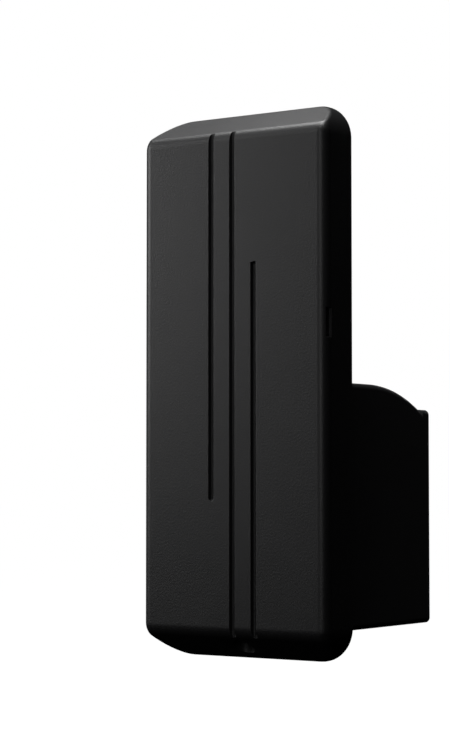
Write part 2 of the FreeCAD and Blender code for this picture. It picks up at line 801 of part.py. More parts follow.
def wall_plate():
    """Plate that closes the housing and screws to the wall."""
    plate = Body("wall_plate")
    blank = plate.outline((0, 0), 0, S.housing_width, S.plate_height, S.housing_radius)
    plate.pad(blank, S.plate_thickness)
    wall_holes = [(as_size(0), rise * S.wall_hole_pitch / 2) for rise in (-1, 1)]
    plate.pocket(plate.circles(wall_holes, plate_y, S.wall_hole_radius), S.plate_thickness)
    grommet_hole = [(as_size(0), cable_z)]
    neck = plate.circles(grommet_hole, plate_y, S.grommet_neck + S.seat_gap)
    plate.pocket(neck, S.plate_thickness)
    flange_depth = S.grommet_flange + S.fit_gap
    recess = plate.circles(grommet_hole, -flange_depth, S.grommet_radius + S.fit_gap)
    plate.pocket(recess, flange_depth)
    tamper_hole = [(as_size(0), tamper_z)]
    stem = plate.circles(tamper_hole, plate_y, S.tamper_stem + S.tamper_slide_gap)
    plate.pocket(stem, S.plate_thickness)
    shanks = plate.circles(column_places(), plate_y, S.screw_radius + S.screw_slack)
    plate.pocket(shanks, S.plate_thickness)
    sink = S.screw_radius * S.head_ratio + S.screw_slack
    plate.pocket(plate.circles(column_places(), -S.head_height, sink), S.head_height)


def cable_grommet():
    """Rubber grommet with a flange each side of the wall plate and a nose inside."""
    flange_depth = S.grommet_flange + S.fit_gap
    rear_flange = rod((0, -flange_depth, cable_z), S.grommet_radius, S.grommet_flange)
    neck = rod((0, plate_y, cable_z), S.grommet_neck, S.plate_thickness - flange_depth)
    inside = (0, plate_y - S.grommet_flange, cable_z)
    front_flange = rod(inside, S.grommet_radius, S.grommet_flange)
    tip_radius = S.cable_radius + S.grommet_lip
    nose = taper(inside, S.grommet_neck, tip_radius, S.grommet_nose, "-y")
    length = S.plate_thickness + S.grommet_flange + S.grommet_nose + S.overshoot
    bore = rod((0, 0, cable_z), S.cable_radius, length, "-y")
    node("cable_grommet", cut(fuse(rear_flange, neck, front_flange, nose), bore))


def screw(place, radius, length, along):
    """Make a cylinder-head screw whose head seats at place and whose shank runs along an axis."""
    back, way = {"y": ("-y", 1), "-y": ("y", -1)}[along]
    x, y, z = place
    across = radius * S.head_ratio
    head = rod(place, across, S.head_height, back)
    shank = rod(place, radius, length, along)
    depth = S.head_height * S.drive_ratio
    top = y - way * S.head_height
    start = top if way > 0 else top - depth
    slots = [box((x, start, z), size) for size in ((across, depth, radius / 2), (radius / 2, depth, across))]
    return cut(fuse(head, shank), *slots)


def screws():
    """Make each group of screws and the threaded inserts that the long ones bite."""
    small, large = S.small_screw_radius, S.screw_radius
    posts = pairs(S.antenna_post_x, S.antenna_post_z, middle_z)
    feet = pairs(S.main_post_x, S.main_post_z, column_middle_z)
    columns = column_places()
    groups = [("antenna_screws", posts, antenna_front_y, small, S.board_screw_length, "y"),
              ("board_screws", feet, main_rear_y, small, S.board_screw_length, "-y"),
              ("chassis_screws", columns, panel_y, large, S.chassis_screw_length, "y"),
              ("plate_screws", columns, -S.head_height, large, S.plate_screw_length, "-y")]
    for label, places, y, radius, length, along in groups:
        node(label, *[screw((x, y, z), radius, length, along) for x, z in places])
    for label, y, along in (("front_inserts", housing_front_y, "y"), ("rear_inserts", plate_y, "-y")):
        node(label, *[insert((x, y, z), along) for x, z in columns])


def insert(place, along):
    """Make a threaded brass insert."""
    sleeve = rod(place, S.insert_radius, S.insert_length, along)
    bore = rod(place, S.screw_radius + S.seat_gap, S.insert_length + S.overshoot, along)
    return cut(sleeve, bore)


def antenna_board():
    """Front circuit board, with holes that let a driver reach the chassis screws."""
    board = Body("antenna_board")
    size = (S.antenna_width, S.antenna_height, S.antenna_corner)
    board.pad(board.outline((0, middle_z), antenna_rear_y, *size), S.antenna_thickness)
    posts = pairs(S.antenna_post_x, S.antenna_post_z, middle_z)
    holes = board.circles(posts, antenna_front_y, S.small_screw_radius + S.screw_slack)
    board.pocket(holes, S.antenna_thickness)
    access = S.screw_radius * S.head_ratio + S.driver_slack
    board.pocket(board.circles(column_places(), antenna_front_y, access), S.antenna_thickness)


def antenna_coil():
    """Flat coil of nested square turns on the front of the antenna board."""
    height = S.ferrite_height + S.coil_margin
    width = S.ferrite_width + 2 * S.coil_margin
    y = antenna_front_y - S.coil_thickness
    rings = []
    for turn in range(int(S.coil_turns.value)):
        wide = width - 2 * turn * S.coil_pitch
        tall = height - 2 * turn * S.coil_pitch
        outer = box((0, y, coil_z), (wide, S.coil_thickness, tall))
        depth = S.coil_thickness + 2 * S.overshoot
        size = (wide - 2 * S.coil_track, depth, tall - 2 * S.coil_track)
        rings.append(cut(outer, box((0, y - S.overshoot, coil_z), size)))
    node("antenna_coil", *rings)


def shield_and_light():
    """Make the ferrite sheet behind the coil and the indicator in front of the board."""
    shield = (S.ferrite_width, S.ferrite_thickness, S.ferrite_height)
    node("ferrite_sheet", box((0, antenna_rear_y, coil_z), shield))
    base_y = antenna_front_y - S.light_base
    base = box((0, base_y, header_z), (S.light_width, S.light_base, S.light_height))
    lens = box((0, base_y - S.lens_depth, header_z), (S.lens_width, S.lens_depth, S.lens_height))
    node("status_led", fuse(base, lens))


def connector():
    """Make the header on the main board and the socket on the antenna board that it enters."""
    depth = panel_y - S.header_split - antenna_rear_y
    body = box((0, antenna_rear_y, header_z), (header_width, depth, S.header_pitch))
    holes = []
    pins = []
    first = (S.header_pitch - header_width) / 2
    for pin in range(int(S.header_pins.value)):
        x = first + pin * S.header_pitch
        hole_y = antenna_rear_y + S.pin_clearance / 2
        holes.append(box((x, hole_y, header_z), (S.pin_hole, depth, S.pin_hole)))
        pin_y = antenna_rear_y + S.pin_clearance
        pins.append(box((x, pin_y, header_z), (S.pin_width, main_front_y - pin_y, S.pin_width)))
    node("stacking_socket", cut(body, *holes))
    strip = box((0, main_front_y - S.header_base, header_z), (header_width, S.header_base, S.header_pitch))
    node("stacking_header", fuse(strip, *pins))


def main_board():
    """Reader board behind the back plate."""
    board = Body("main_board")
    outline = board.outline((0, column_middle_z), main_rear_y, S.main_width, main_height, S.main_corner)
    board.pad(outline, S.main_thickness)
    feet = pairs(S.main_post_x, S.main_post_z, column_middle_z)
    holes = board.circles(feet, main_front_y, S.small_screw_radius + S.screw_slack)
    board.pocket(holes, S.main_thickness)


def front_chips():
    """Make the parts on the front of the main board."""
    z = column_middle_z - S.chip_drop
    node("microcontroller", chip(S.micro_x, z, S.micro_side, S.micro_height))
    node("reader_chip", chip(S.reader_x, z, S.reader_side, S.reader_height))
    can = (S.crystal_width, S.crystal_depth, S.crystal_height)
    node("crystal", box((S.crystal_x, main_front_y - S.crystal_depth, z), can))


def chip(x, z, side, height):
    """Make a square chip in front of the main board, with leads on two sides."""
    case = box((x, main_front_y - height, z), (side, height - S.chip_standoff, side))
    pitch = side / S.chip_leads
    lead = (side + 2 * S.lead_reach, S.lead_thickness, pitch * S.lead_share)
    lowest = z - side / 2 + pitch / 2
    y = main_front_y - S.lead_thickness
    legs = [box((x, y, lowest + place * pitch), lead) for place in range(int(S.chip_leads.value))]
    return fuse(case, *legs)


def rear_parts():
    """Make the taller parts on the back of the main board."""
    y = main_rear_y
    z = column_middle_z
    cans = []
    for side in (-1, 1):
        x = S.capacitor_x + side * S.capacitor_pitch / 2
        level_z = z + S.capacitor_rise
        base = box((x, y, level_z), (S.capacitor_base, S.capacitor_foot, S.capacitor_base))
        can = rod((x, y + S.capacitor_foot, level_z), S.capacitor_radius, S.capacitor_length)
        cans.append(fuse(base, can))
    node("capacitors", *cans)
    node("regulator", regulator())
    place_z = z + S.buzzer_rise
    case = rod((S.buzzer_x, y, place_z), S.buzzer_radius, S.buzzer_depth)
    port_y = y + S.buzzer_depth - S.buzzer_port_depth
    node("buzzer", cut(case, rod((S.buzzer_x, port_y, place_z), S.buzzer_port, S.overshoot)))


def regulator():
    """Make the voltage regulator: a case with a tab above and two legs below."""
    middle = column_middle_z + S.regulator_rise
    half = S.regulator_height / 2
    y = main_rear_y
    case = box((S.regulator_x, y, middle), (S.regulator_width, S.regulator_depth, S.regulator_height))
    tab = (S.regulator_tab_width, S.regulator_sheet, S.regulator_tab_height)
    leg = (S.regulator_leg_width, S.regulator_sheet, S.regulator_leg_height)
    pieces = [case, box((S.regulator_x, y, middle + half + S.regulator_tab_height / 2), tab)]
    for side in (-1, 1):
        x = S.regulator_x + side * S.regulator_leg_pitch / 2
        pieces.append(box((x, y, middle - half - S.regulator_leg_height / 2), leg))
    return fuse(*pieces)


def terminal_block():
    """Make the wiring terminals, with a clamp screw over each wire mouth."""
    width = S.terminal_ways * S.terminal_pitch
    z = column_middle_z - main_height / 2 + S.terminal_height / 2 + S.terminal_edge
    y = main_rear_y
    block = box((0, y, z), (width, S.terminal_depth, S.terminal_height))
    hollows = []
    bolts = []
    mouth = S.terminal_pitch - S.terminal_wall
    mouth_z = z - S.terminal_height / 2 + S.terminal_mouth_depth / 2 - S.fit_gap
    well_y = y + S.terminal_floor + mouth + 2 * S.terminal_web
    well_z = z + S.terminal_well_rise
    well_radius = S.terminal_pitch / 2 - S.terminal_well_wall
    first = (S.terminal_pitch - width) / 2
    for way in range(int(S.terminal_ways.value)):
        x = first + way * S.terminal_pitch
        hollows.append(box((x, y + S.terminal_floor, mouth_z), (mouth, mouth, S.terminal_mouth_depth)))
        hollows.append(rod((x, well_y, well_z), well_radius, S.terminal_depth))
        bolts.append(clamp_screw((x, well_y + S.seat_gap, well_z), well_radius - S.terminal_screw_gap))
    node("terminal_block", cut(block, *hollows))
    node("terminal_screws", *bolts)


def clamp_screw(place, radius):
    """Make a slotted screw head that stands at place and faces +Y."""
    x, y, z = place
    head = rod(place, radius, S.terminal_screw_height)
    top = y + S.terminal_screw_height - S.terminal_slot_depth
    return cut(head, box((x, top, z), (S.terminal_pitch, S.overshoot, S.terminal_slot_width)))


def address_switch():
    """Make the four-way address switch and its sliders."""
    width = S.switch_ways * S.switch_pitch + 2 * S.switch_edge
    z = column_middle_z - S.switch_drop
    front = main_front_y - S.switch_depth
    case = box((S.switch_x, front, z), (width, S.switch_depth, S.switch_height))
    knob_size = (S.slider_width, S.slider_length, S.slider_width)
    well_height = S.slider_travel + S.slider_width + 2 * S.slider_end_gap
    well_depth = S.overshoot + S.slider_length - S.slider_proud + S.fit_gap
    well_size = (S.slider_width + 2 * S.slider_gap, well_depth, well_height)
    first = S.switch_x - (S.switch_ways - 1) * S.switch_pitch / 2
    wells = []
    for way in range(int(S.switch_ways.value)):
        x = first + way * S.switch_pitch
        wells.append(box((x, front - S.overshoot, z), well_size))
        knob = box((x, front - S.slider_proud, z - S.slider_travel / 2), knob_size)
        node(f"dip_slider_{way + 1}", knob)
    node("dip_switch", cut(case, *wells))


def tamper_switch():
    """Make the sprung plunger that the wall presses, with its case and spring."""
    bore = S.tamper_collar + S.tamper_slide_gap
    length = S.tamper_case_length
    front = plate_y - length
    case = rod((0, front, tamper_z), bore + S.tamper_wall, length)
    node("tamper_case", cut(case, rod((0, front + S.tamper_wall, tamper_z), bore, length)))
    collar_y = plate_y - S.tamper_collar_length - S.seat_gap
    place = (0, collar_y, tamper_z)
    stem_length = S.tamper_travel + S.plate_thickness + S.tamper_collar_length
    collar = rod(place, S.tamper_collar, S.tamper_collar_length)
    node("tamper_plunger", fuse(rod(place, S.tamper_stem, stem_length), collar))
    clear = S.spring_wire_radius + S.seat_gap
    node("tamper_spring", spring(front + S.tamper_wall + clear, collar_y - clear))


def spring(start_y, end_y):
    """Make the tamper spring between two places of its wire's axis."""
    coil = doc.addObject("Part::Helix", "coil")
    bind(coil, "Height", end_y - start_y)
    bind(coil, "Pitch", (end_y - start_y) / S.spring_turns)
    bind(coil, "Radius", S.tamper_stem)
    wire = doc.addObject("Part::Circle", "wire")
    bind(wire, "Radius", S.spring_wire_radius)
    put(wire, (S.tamper_stem, 0, 0), TURNS["-y"])
    coiled = doc.addObject("Part::Sweep", "spring")
    coiled.Sections = [wire]
    coiled.Spine = (coil, [])
    coiled.Solid = True
    coiled.Frenet = True
    return put(coiled, (0, start_y, tamper_z), TURNS["y"])


def check_and_export():
    """Refuse any failed object or invalid piece, then write each piece to its file."""
    doc.recompute()
    for thing in doc.Objects:
        if "Invalid" in thing.State or "Error" in thing.State:
            raise ValueError(f"{thing.Label} failed: {thing.State}")
    for piece in MEMBER_NODES:
        if piece.Shape.isNull() or not piece.Shape.isValid() or not piece.Shape.Solids:
            raise ValueError(f"{piece.Label} has no valid solid")
    os.makedirs("parts", exist_ok=True)
    for piece in MEMBER_NODES:
        piece.Shape.exportStep(f"parts/{piece.Label}.step")
        print(f"{piece.Label}: {len(piece.Shape.Solids)} solids, {piece.Shape.Volume:.1f} mm3")


front_cover()
cover_fastener()
back_plate()
cover_gasket()
rear_housing()
housing_gasket()
wall_plate()
cable_grommet()
screws()
antenna_board()
antenna_coil()
shield_and_light()
connector()
main_board()
front_chips()
rear_parts()
terminal_block()
address_switch()
tamper_switch()
check_and_export()
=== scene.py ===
"""Looks of a wall-mount card reader: shells, boards, fasteners, studio and camera, in metres."""
import json
import logging
import math
from dataclasses import dataclass, field
from enum import Enum
from typing import Iterable, Sequence

import bmesh
import bpy
from mathutils import Matrix, Vector

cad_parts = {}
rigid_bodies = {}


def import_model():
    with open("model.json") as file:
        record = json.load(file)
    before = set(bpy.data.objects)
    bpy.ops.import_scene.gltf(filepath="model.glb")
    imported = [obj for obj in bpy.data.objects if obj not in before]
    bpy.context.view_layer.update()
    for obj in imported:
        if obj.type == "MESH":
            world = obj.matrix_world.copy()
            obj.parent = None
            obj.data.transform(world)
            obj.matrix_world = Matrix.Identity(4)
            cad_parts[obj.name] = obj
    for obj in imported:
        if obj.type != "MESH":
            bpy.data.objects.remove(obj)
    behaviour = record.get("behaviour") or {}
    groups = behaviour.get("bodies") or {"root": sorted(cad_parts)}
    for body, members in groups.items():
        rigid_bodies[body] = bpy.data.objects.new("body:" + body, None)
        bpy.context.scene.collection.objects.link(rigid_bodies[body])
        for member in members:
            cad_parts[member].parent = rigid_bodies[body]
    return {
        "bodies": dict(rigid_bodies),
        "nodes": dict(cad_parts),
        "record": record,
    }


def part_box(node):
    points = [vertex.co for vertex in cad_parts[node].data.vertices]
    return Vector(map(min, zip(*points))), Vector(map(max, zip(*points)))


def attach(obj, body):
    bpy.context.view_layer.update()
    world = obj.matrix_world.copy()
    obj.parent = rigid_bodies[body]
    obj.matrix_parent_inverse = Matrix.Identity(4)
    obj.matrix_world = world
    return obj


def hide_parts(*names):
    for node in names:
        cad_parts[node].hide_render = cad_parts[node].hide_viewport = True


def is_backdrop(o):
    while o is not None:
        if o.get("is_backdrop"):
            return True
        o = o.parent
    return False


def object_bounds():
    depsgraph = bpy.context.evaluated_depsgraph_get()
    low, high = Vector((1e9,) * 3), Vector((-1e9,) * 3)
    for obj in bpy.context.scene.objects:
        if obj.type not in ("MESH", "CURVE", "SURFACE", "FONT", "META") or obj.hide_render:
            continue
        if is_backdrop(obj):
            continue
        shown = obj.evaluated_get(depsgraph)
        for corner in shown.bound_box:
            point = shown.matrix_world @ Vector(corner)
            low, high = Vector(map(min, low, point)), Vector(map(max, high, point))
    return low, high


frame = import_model()

LOG = logging.getLogger("card_reader")
MM = 0.001
# Corners closer than this are one corner: on the envelope, on finished meshes and on packed ones.
CLOSE = 0.0001 * MM
MERGE = 0.0002 * MM
PACKED_MERGE = 0.001 * MM
# Edges that turn by more degrees than this stay sharp: on the cover, on chip cases and on small parts.
COVER_ANGLE = 25.0
CHIP_ANGLE = 30.0
PART_ANGLE = 35.0
# Edges of carried-over pieces that turn by more degrees than this are rounded.
BEVEL_ANGLE = 40.0
# How many times its area a large face counts when a shared corner's normal is worked out.
LARGE_WEIGHT = 1000.0
# Pieces in a rounded rim, and in the rounded corners of small outlines.
RIM_STEPS = 4
CORNER_STEPS = 6
# Lengths below this are rounding errors.
NOTHING = 1e-9
Point = tuple[float, float, float]
Colour = tuple[float, float, float]


class Body(Enum):
    """The bodies that the pieces made here ride on."""

    CHASSIS = "chassis"
    COVER = "cover"


class Slot(Enum):
    """The material slots that the pieces take their finish from."""

    COVER = "cover_plastic"
    CASE = "body_plastic"
    RUBBER = "seal_rubber"
    BOARD = "board_resin"
    COPPER = "copper"
    FERRITE = "ferrite"
    STEEL = "steel"
    BRASS = "brass"
    RESIN = "chip_resin"
    CRYSTAL = "crystal_can"
    CAN = "capacitor_can"
    TERMINAL = "terminal_plastic"
    SWITCH = "switch_plastic"
    SLIDER = "slider_plastic"
    LENS = "lens"


# --- shader maths ---


class Wire:
    """A socket's value, on which arithmetic adds Math nodes."""

    def __init__(self, shader: "Shader", socket: bpy.types.NodeSocket) -> None:
        """Keep the socket and the shader that it belongs to."""
        self.shader = shader
        self.socket = socket

    def maths(self, operation: str, *others: "Wire | float") -> "Wire":
        """Return the result of a Math node on this value and the others."""
        return self.shader.node("ShaderNodeMath", {"operation": operation}, dict(enumerate((self, *others))))

    def __add__(self, other: "Wire | float") -> "Wire":
        """Return self + other."""
        return self.maths("ADD", other)

    def __sub__(self, other: "Wire | float") -> "Wire":
        """Return self - other."""
        return self.maths("SUBTRACT", other)

    def __mul__(self, other: "Wire | float") -> "Wire":
        """Return self * other."""
        return self.maths("MULTIPLY", other)

    def __rsub__(self, other: float) -> "Wire":
        """Return other - self."""
        return self.shader.node("ShaderNodeMath", {"operation": "SUBTRACT"}, {0: other, 1: self})

    __radd__ = __add__
    __rmul__ = __mul__

    def above(self, level: float) -> "Wire":
        """Return 1 where the value is above a level, else 0."""
        return self.maths("GREATER_THAN", level)

    def span(self, low: float, high: float) -> "Wire":
        """Return the value with its 0 to 1 range mapped to low to high, clamped."""
        inputs = {"Value": self, "To Min": low, "To Max": high}
        return self.shader.node("ShaderNodeMapRange", {"clamp": True}, inputs)


class Shader:
    """A material's nodes, built around one Principled shader."""

    def __init__(self, name: str) -> None:
        """Start a material with only its output and its Principled shader.

        Args:
            name: the material's name.
        """
        self.material = bpy.data.materials.new(name)
        self.material.use_nodes = True
        self.tree = self.material.node_tree
        self.surface = self.tree.nodes["Principled BSDF"]
        self.place = self.node("ShaderNodeTexCoord", output="Object")

    def node(self, kind: str, settings: dict | None = None, inputs: dict | None = None,
             output: int | str = 0) -> Wire:
        """Add a node.

        Args:
            kind: the node's type.
            settings: attributes, set before anything else.
            inputs: values or wires by socket name or number.
            output: name or number of the socket to return.

        Returns:
            The chosen output.
        """
        made = self.tree.nodes.new(kind)
        for name, setting in (settings or {}).items():
            setattr(made, name, setting)
        for name, given in (inputs or {}).items():
            self.feed(made.inputs[name], given)
        return Wire(self, made.outputs[output])

    def feed(self, socket: bpy.types.NodeSocket, given: "Wire | float | Sequence[float]") -> None:
        """Link a wire to a socket, or set the socket to a number or a colour.

        Args:
            socket: the input socket.
            given: a wire or a constant.
        """
        if isinstance(given, Wire):
            self.tree.links.new(given.socket, socket)
        elif socket.type == "RGBA" and len(given) == 3:
            socket.default_value = (*given, 1.0)
        else:
            socket.default_value = given

    def noise(self, size: float, detail: float = 2.0, stretch: Point = (1.0, 1.0, 1.0)) -> Wire:
        """Return noise from 0 to 1 whose features are about size across.

        Args:
            size: feature size in metres.
            detail: octaves of finer noise.
            stretch: scale of each axis, for brushed or streaky noise.

        Returns:
            The noise.
        """
        place = self.place
        if stretch != (1.0, 1.0, 1.0):
            place = self.node("ShaderNodeVectorMath", {"operation": "MULTIPLY"}, {0: place, 1: stretch})
        inputs = {"Vector": place, "Scale": 1.0 / size, "Detail": detail, "Roughness": 0.55}
        return self.node("ShaderNodeTexNoise", None, inputs)

    def tint(self, mask: Wire, low: Colour | Wire, high: Colour | Wire) -> Wire:
        """Return two colours blended by a mask: low where it is 0, high where it is 1."""
        settings = {"data_type": "RGBA", "clamp_factor": True}
        return self.node("ShaderNodeMix", settings, {0: mask, 6: low, 7: high}, output=2)

    def bump(self, height: Wire, depth: float, strength: float = 1.0) -> Wire:
        """Return a normal bent by a height map, of which a height of 1 stands for depth in metres."""
        return self.node("ShaderNodeBump", None, {"Height": height, "Distance": depth, "Strength": strength})

    def finish(self, **inputs: "Wire | float | Sequence[float]") -> bpy.types.Material:
        """Set the Principled shader's sockets, underscores standing for spaces.

        Args:
            inputs: values or wires by socket name.

        Returns:
            The material.
        """
        for name, given in inputs.items():
            self.feed(self.surface.inputs[name.replace("_", " ")], given)
        return self.material


def shade(colour: Colour, share: float) -> Colour:
    """Return a colour made lighter or darker by a share."""
    return tuple(channel * share for channel in colour)


# --- finishes ---


@dataclass(frozen=True)
class Moulded:
    """Moulded plastic with a spark-eroded grain."""

    name: str
    colour: Colour
    grain: float = 0.45 * MM
    depth: float = 0.02 * MM
    roughness: float = 0.5
    mottle: float = 0.12
    roughness_spread: float = 0.06
    fine_ratio: float = 3.0
    cloud_ratio: float = 25.0
    cloud_in_tone: float = 0.3
    fine_in_texture: float = 0.25

    def material(self) -> bpy.types.Material:
        """Return the material."""
        shader = Shader(self.name)
        grain = shader.noise(self.grain, 2.0)
        fine = shader.noise(self.grain / self.fine_ratio, 1.0)
        cloud = shader.noise(self.grain * self.cloud_ratio, 3.0)
        mixed = grain * (1 - self.cloud_in_tone) + cloud * self.cloud_in_tone
        tone = mixed.span(1 - 2 * self.mottle, 1 + 2 * self.mottle)
        dark = shade(self.colour, 1 - self.mottle)
        light = shade(self.colour, 1 + self.mottle)
        colour = shader.tint(tone - (1 - self.mottle), dark, light)
        texture = grain * (1 - self.fine_in_texture) + fine * self.fine_in_texture
        worn = (cloud * 0.5 + fine * 0.5).span(self.roughness - self.roughness_spread,
                                               self.roughness + self.roughness_spread)
        return shader.finish(Base_Color=colour, Roughness=worn, Normal=shader.bump(texture, self.depth))


@dataclass(frozen=True)
class Rubber:
    """Soft dark rubber, dusted a little lighter."""

    name: str
    colour: Colour
    roughness: float = 0.78
    roughness_spread: float = 0.1
    specular: float = 0.3
    dust_size: float = 1.6 * MM
    dust_light: float = 2.4
    pore_size: float = 0.12 * MM
    pore_depth: float = 0.015 * MM

    def material(self) -> bpy.types.Material:
        """Return the material."""
        shader = Shader(self.name)
        dust = shader.noise(self.dust_size, 4.0)
        pores = shader.noise(self.pore_size, 2.0)
        colour = shader.tint(dust.span(0.0, 1.0), self.colour, shade(self.colour, self.dust_light))
        worn = dust.span(self.roughness - self.roughness_spread, self.roughness + self.roughness_spread)
        return shader.finish(Base_Color=colour, Roughness=worn, Specular_IOR_Level=self.specular,
                             Normal=shader.bump(pores, self.pore_depth))


@dataclass(frozen=True)
class Metal:
    """Plated or turned metal with fine streaks."""

    name: str
    colour: Colour
    roughness: float = 0.32
    streak: Point = (1.0, 1.0, 1.0)
    dull: float = 0.75
    streak_size: float = 0.25 * MM
    streak_depth: float = 0.004 * MM
    stain_size: float = 1.5 * MM
    stain_in_roughness: float = 0.4
    smoother: float = 0.12
    rougher: float = 0.14

    def material(self) -> bpy.types.Material:
        """Return the material."""
        shader = Shader(self.name)
        streaks = shader.noise(self.streak_size, 3.0, self.streak)
        stain = shader.noise(self.stain_size, 3.0)
        colour = shader.tint(stain.span(-0.3, 1.2), shade(self.colour, self.dull), self.colour)
        mixed = streaks * (1 - self.stain_in_roughness) + stain * self.stain_in_roughness
        rough = mixed.span(self.roughness - self.smoother, self.roughness + self.rougher)
        return shader.finish(Base_Color=colour, Metallic=1.0, Roughness=rough,
                             Normal=shader.bump(streaks, self.streak_depth))


@dataclass(frozen=True)
class Laminate:
    """Circuit board: solder mask over patches of parallel copper tracks."""

    name: str
    colour: Colour
    track_pitch: float = 0.9 * MM
    track_depth: float = 0.03 * MM
    track_level: float = 0.55
    track_light: float = 1.9
    bare_share: float = 0.2
    patch: float = 6.0 * MM
    weave_size: float = 0.5 * MM
    weave_light: float = 1.25

    def material(self) -> bpy.types.Material:
        """Return the material."""
        shader = Shader(self.name)
        cells = shader.node("ShaderNodeTexVoronoi", {"distance": "CHEBYCHEV"},
                            {"Vector": shader.place, "Scale": 1 / self.patch}, output="Color")
        choice = shader.node("ShaderNodeSeparateColor", None, {0: cells})
        upright = choice.above(0.5)
        runs = [self.stripes(shader, axis) for axis in ("X", "Z")]
        tracks = (runs[0] * upright + runs[1] * (1 - upright)) * choice.above(self.bare_share)
        weave = shader.noise(self.weave_size, 1.0, (1.0, 1.0, 0.25))
        masked = shader.tint(weave.span(0.0, 1.0), self.colour, shade(self.colour, self.weave_light))
        colour = shader.tint(tracks, masked, shade(self.colour, self.track_light))
        return shader.finish(Base_Color=colour, Roughness=weave.span(0.28, 0.42), Coat_Weight=0.3,
                             Normal=shader.bump(tracks, self.track_depth, 0.8))

    def stripes(self, shader: Shader, axis: str) -> Wire:
        """Return tracks that repeat along an axis.

        Args:
            shader: the material being built.
            axis: the axis they repeat along.

        Returns:
            1 on a track, 0 between.
        """
        settings = {"bands_direction": axis, "wave_profile": "TRI"}
        wave = shader.node("ShaderNodeTexWave", settings,
                           {"Vector": shader.place, "Scale": 0.5 / self.track_pitch}, output="Fac")
        return wave.above(self.track_level)


@dataclass(frozen=True)
class Milky:
    """Milky translucent lens."""

    name: str
    colour: Colour
    haze_size: float = 0.4 * MM
    haze_dark: float = 0.9
    clearness: float = 0.35
    milkiness: float = 0.2

    def material(self) -> bpy.types.Material:
        """Return the material."""
        shader = Shader(self.name)
        haze = shader.noise(self.haze_size, 2.0)
        colour = shader.tint(haze, shade(self.colour, self.haze_dark), self.colour)
        return shader.finish(Base_Color=colour, Roughness=haze.span(0.12, 0.3),
                             Transmission_Weight=self.clearness, Subsurface_Weight=self.milkiness,
                             Subsurface_Radius=(MM, MM, MM))


@dataclass(frozen=True)
class Sintered:
    """Ferrite sheet: dark sintered grains under a thin film."""

    name: str
    colour: Colour
    grain: float = 0.2 * MM
    grain_depth: float = 0.01 * MM
    dark: float = 0.6
    light: float = 1.5

    def material(self) -> bpy.types.Material:
        """Return the material."""
        shader = Shader(self.name)
        grains = shader.noise(self.grain, 3.0)
        colour = shader.tint(grains.span(-0.2, 1.3), shade(self.colour, self.dark),
                             shade(self.colour, self.light))
        return shader.finish(Base_Color=colour, Roughness=grains.span(0.35, 0.6),
                             Normal=shader.bump(grains, self.grain_depth))


class Palette:
    """Every finish of the reader, by material slot."""

    COVER_DARK = 0.4

    def __init__(self) -> None:
        """Build the materials, coloured as the record says."""
        tones = {entry["slot"]: tuple(entry["base_color"]) for entry in frame["record"]["materials"]}
        tone = {slot: tones[slot.value] for slot in Slot}
        makers = [
            (Slot.COVER, Moulded("cover_spark_grain", shade(tone[Slot.COVER], self.COVER_DARK),
                                 depth=0.05 * MM, roughness=0.42, mottle=0.15)),
            (Slot.CASE, Moulded("case_satin", tone[Slot.CASE], grain=0.3 * MM)),
            (Slot.RUBBER, Rubber("seal_rubber_dusted", tone[Slot.RUBBER])),
            (Slot.BOARD, Laminate("board_laminate", tone[Slot.BOARD])),
            (Slot.COPPER, Metal("coil_copper", tone[Slot.COPPER], 0.3)),
            (Slot.FERRITE, Sintered("ferrite_sintered", tone[Slot.FERRITE])),
            (Slot.STEEL, Metal("zinc_plated", tone[Slot.STEEL], 0.3)),
            (Slot.BRASS, Metal("brass_turned", tone[Slot.BRASS], 0.28, streak=(1.0, 6.0, 1.0))),
            (Slot.RESIN, Moulded("chip_moulding", tone[Slot.RESIN], grain=0.12 * MM, depth=0.008 * MM,
                                 roughness=0.6)),
            (Slot.CRYSTAL, Metal("crystal_tin", tone[Slot.CRYSTAL], 0.25, streak=(1.0, 1.0, 0.1))),
            (Slot.CAN, Metal("can_aluminium", tone[Slot.CAN], 0.35, streak=(1.0, 0.1, 1.0), dull=0.9)),
            (Slot.TERMINAL, Moulded("terminal_moulding", tone[Slot.TERMINAL], grain=0.2 * MM)),
            (Slot.SWITCH, Moulded("switch_moulding", tone[Slot.SWITCH], grain=0.2 * MM, roughness=0.4)),
            (Slot.SLIDER, Moulded("slider_moulding", tone[Slot.SLIDER], grain=0.2 * MM, roughness=0.4)),
            (Slot.LENS, Milky("lens_milky", tone[Slot.LENS])),
        ]
        self.materials = {slot: maker.material() for slot, maker in makers}

    def dress(self, piece: bpy.types.Object, slot: Slot) -> None:
        """Give an object one material.

        Args:
            piece: the object.
            slot: the slot whose finish it takes.
        """
        for index in range(len(piece.material_slots)):
            piece.material_slots[index].material = self.materials[slot]
        if not piece.material_slots:
            piece.data.materials.append(self.materials[slot])

    def dress_nodes(self) -> None:
        """Give every carried-over piece the finish of its own slot."""
        for part in frame["record"]["subparts"]:
            name = part["node"]
            self.dress(frame["nodes"][name], Slot(part["material_slot"]))
            LOG.info("dressed %s as %s", name, part["material_slot"])


# --- meshes ---


def linked(name: str, data: bpy.types.ID) -> bpy.types.Object:
    """Put a new object in the scene.

    Args:
        name: its name.
        data: the mesh, light or camera that it shows.

    Returns:
        The object.
    """
    made = bpy.data.objects.new(name, data)
    bpy.context.scene.collection.objects.link(made)
    return made


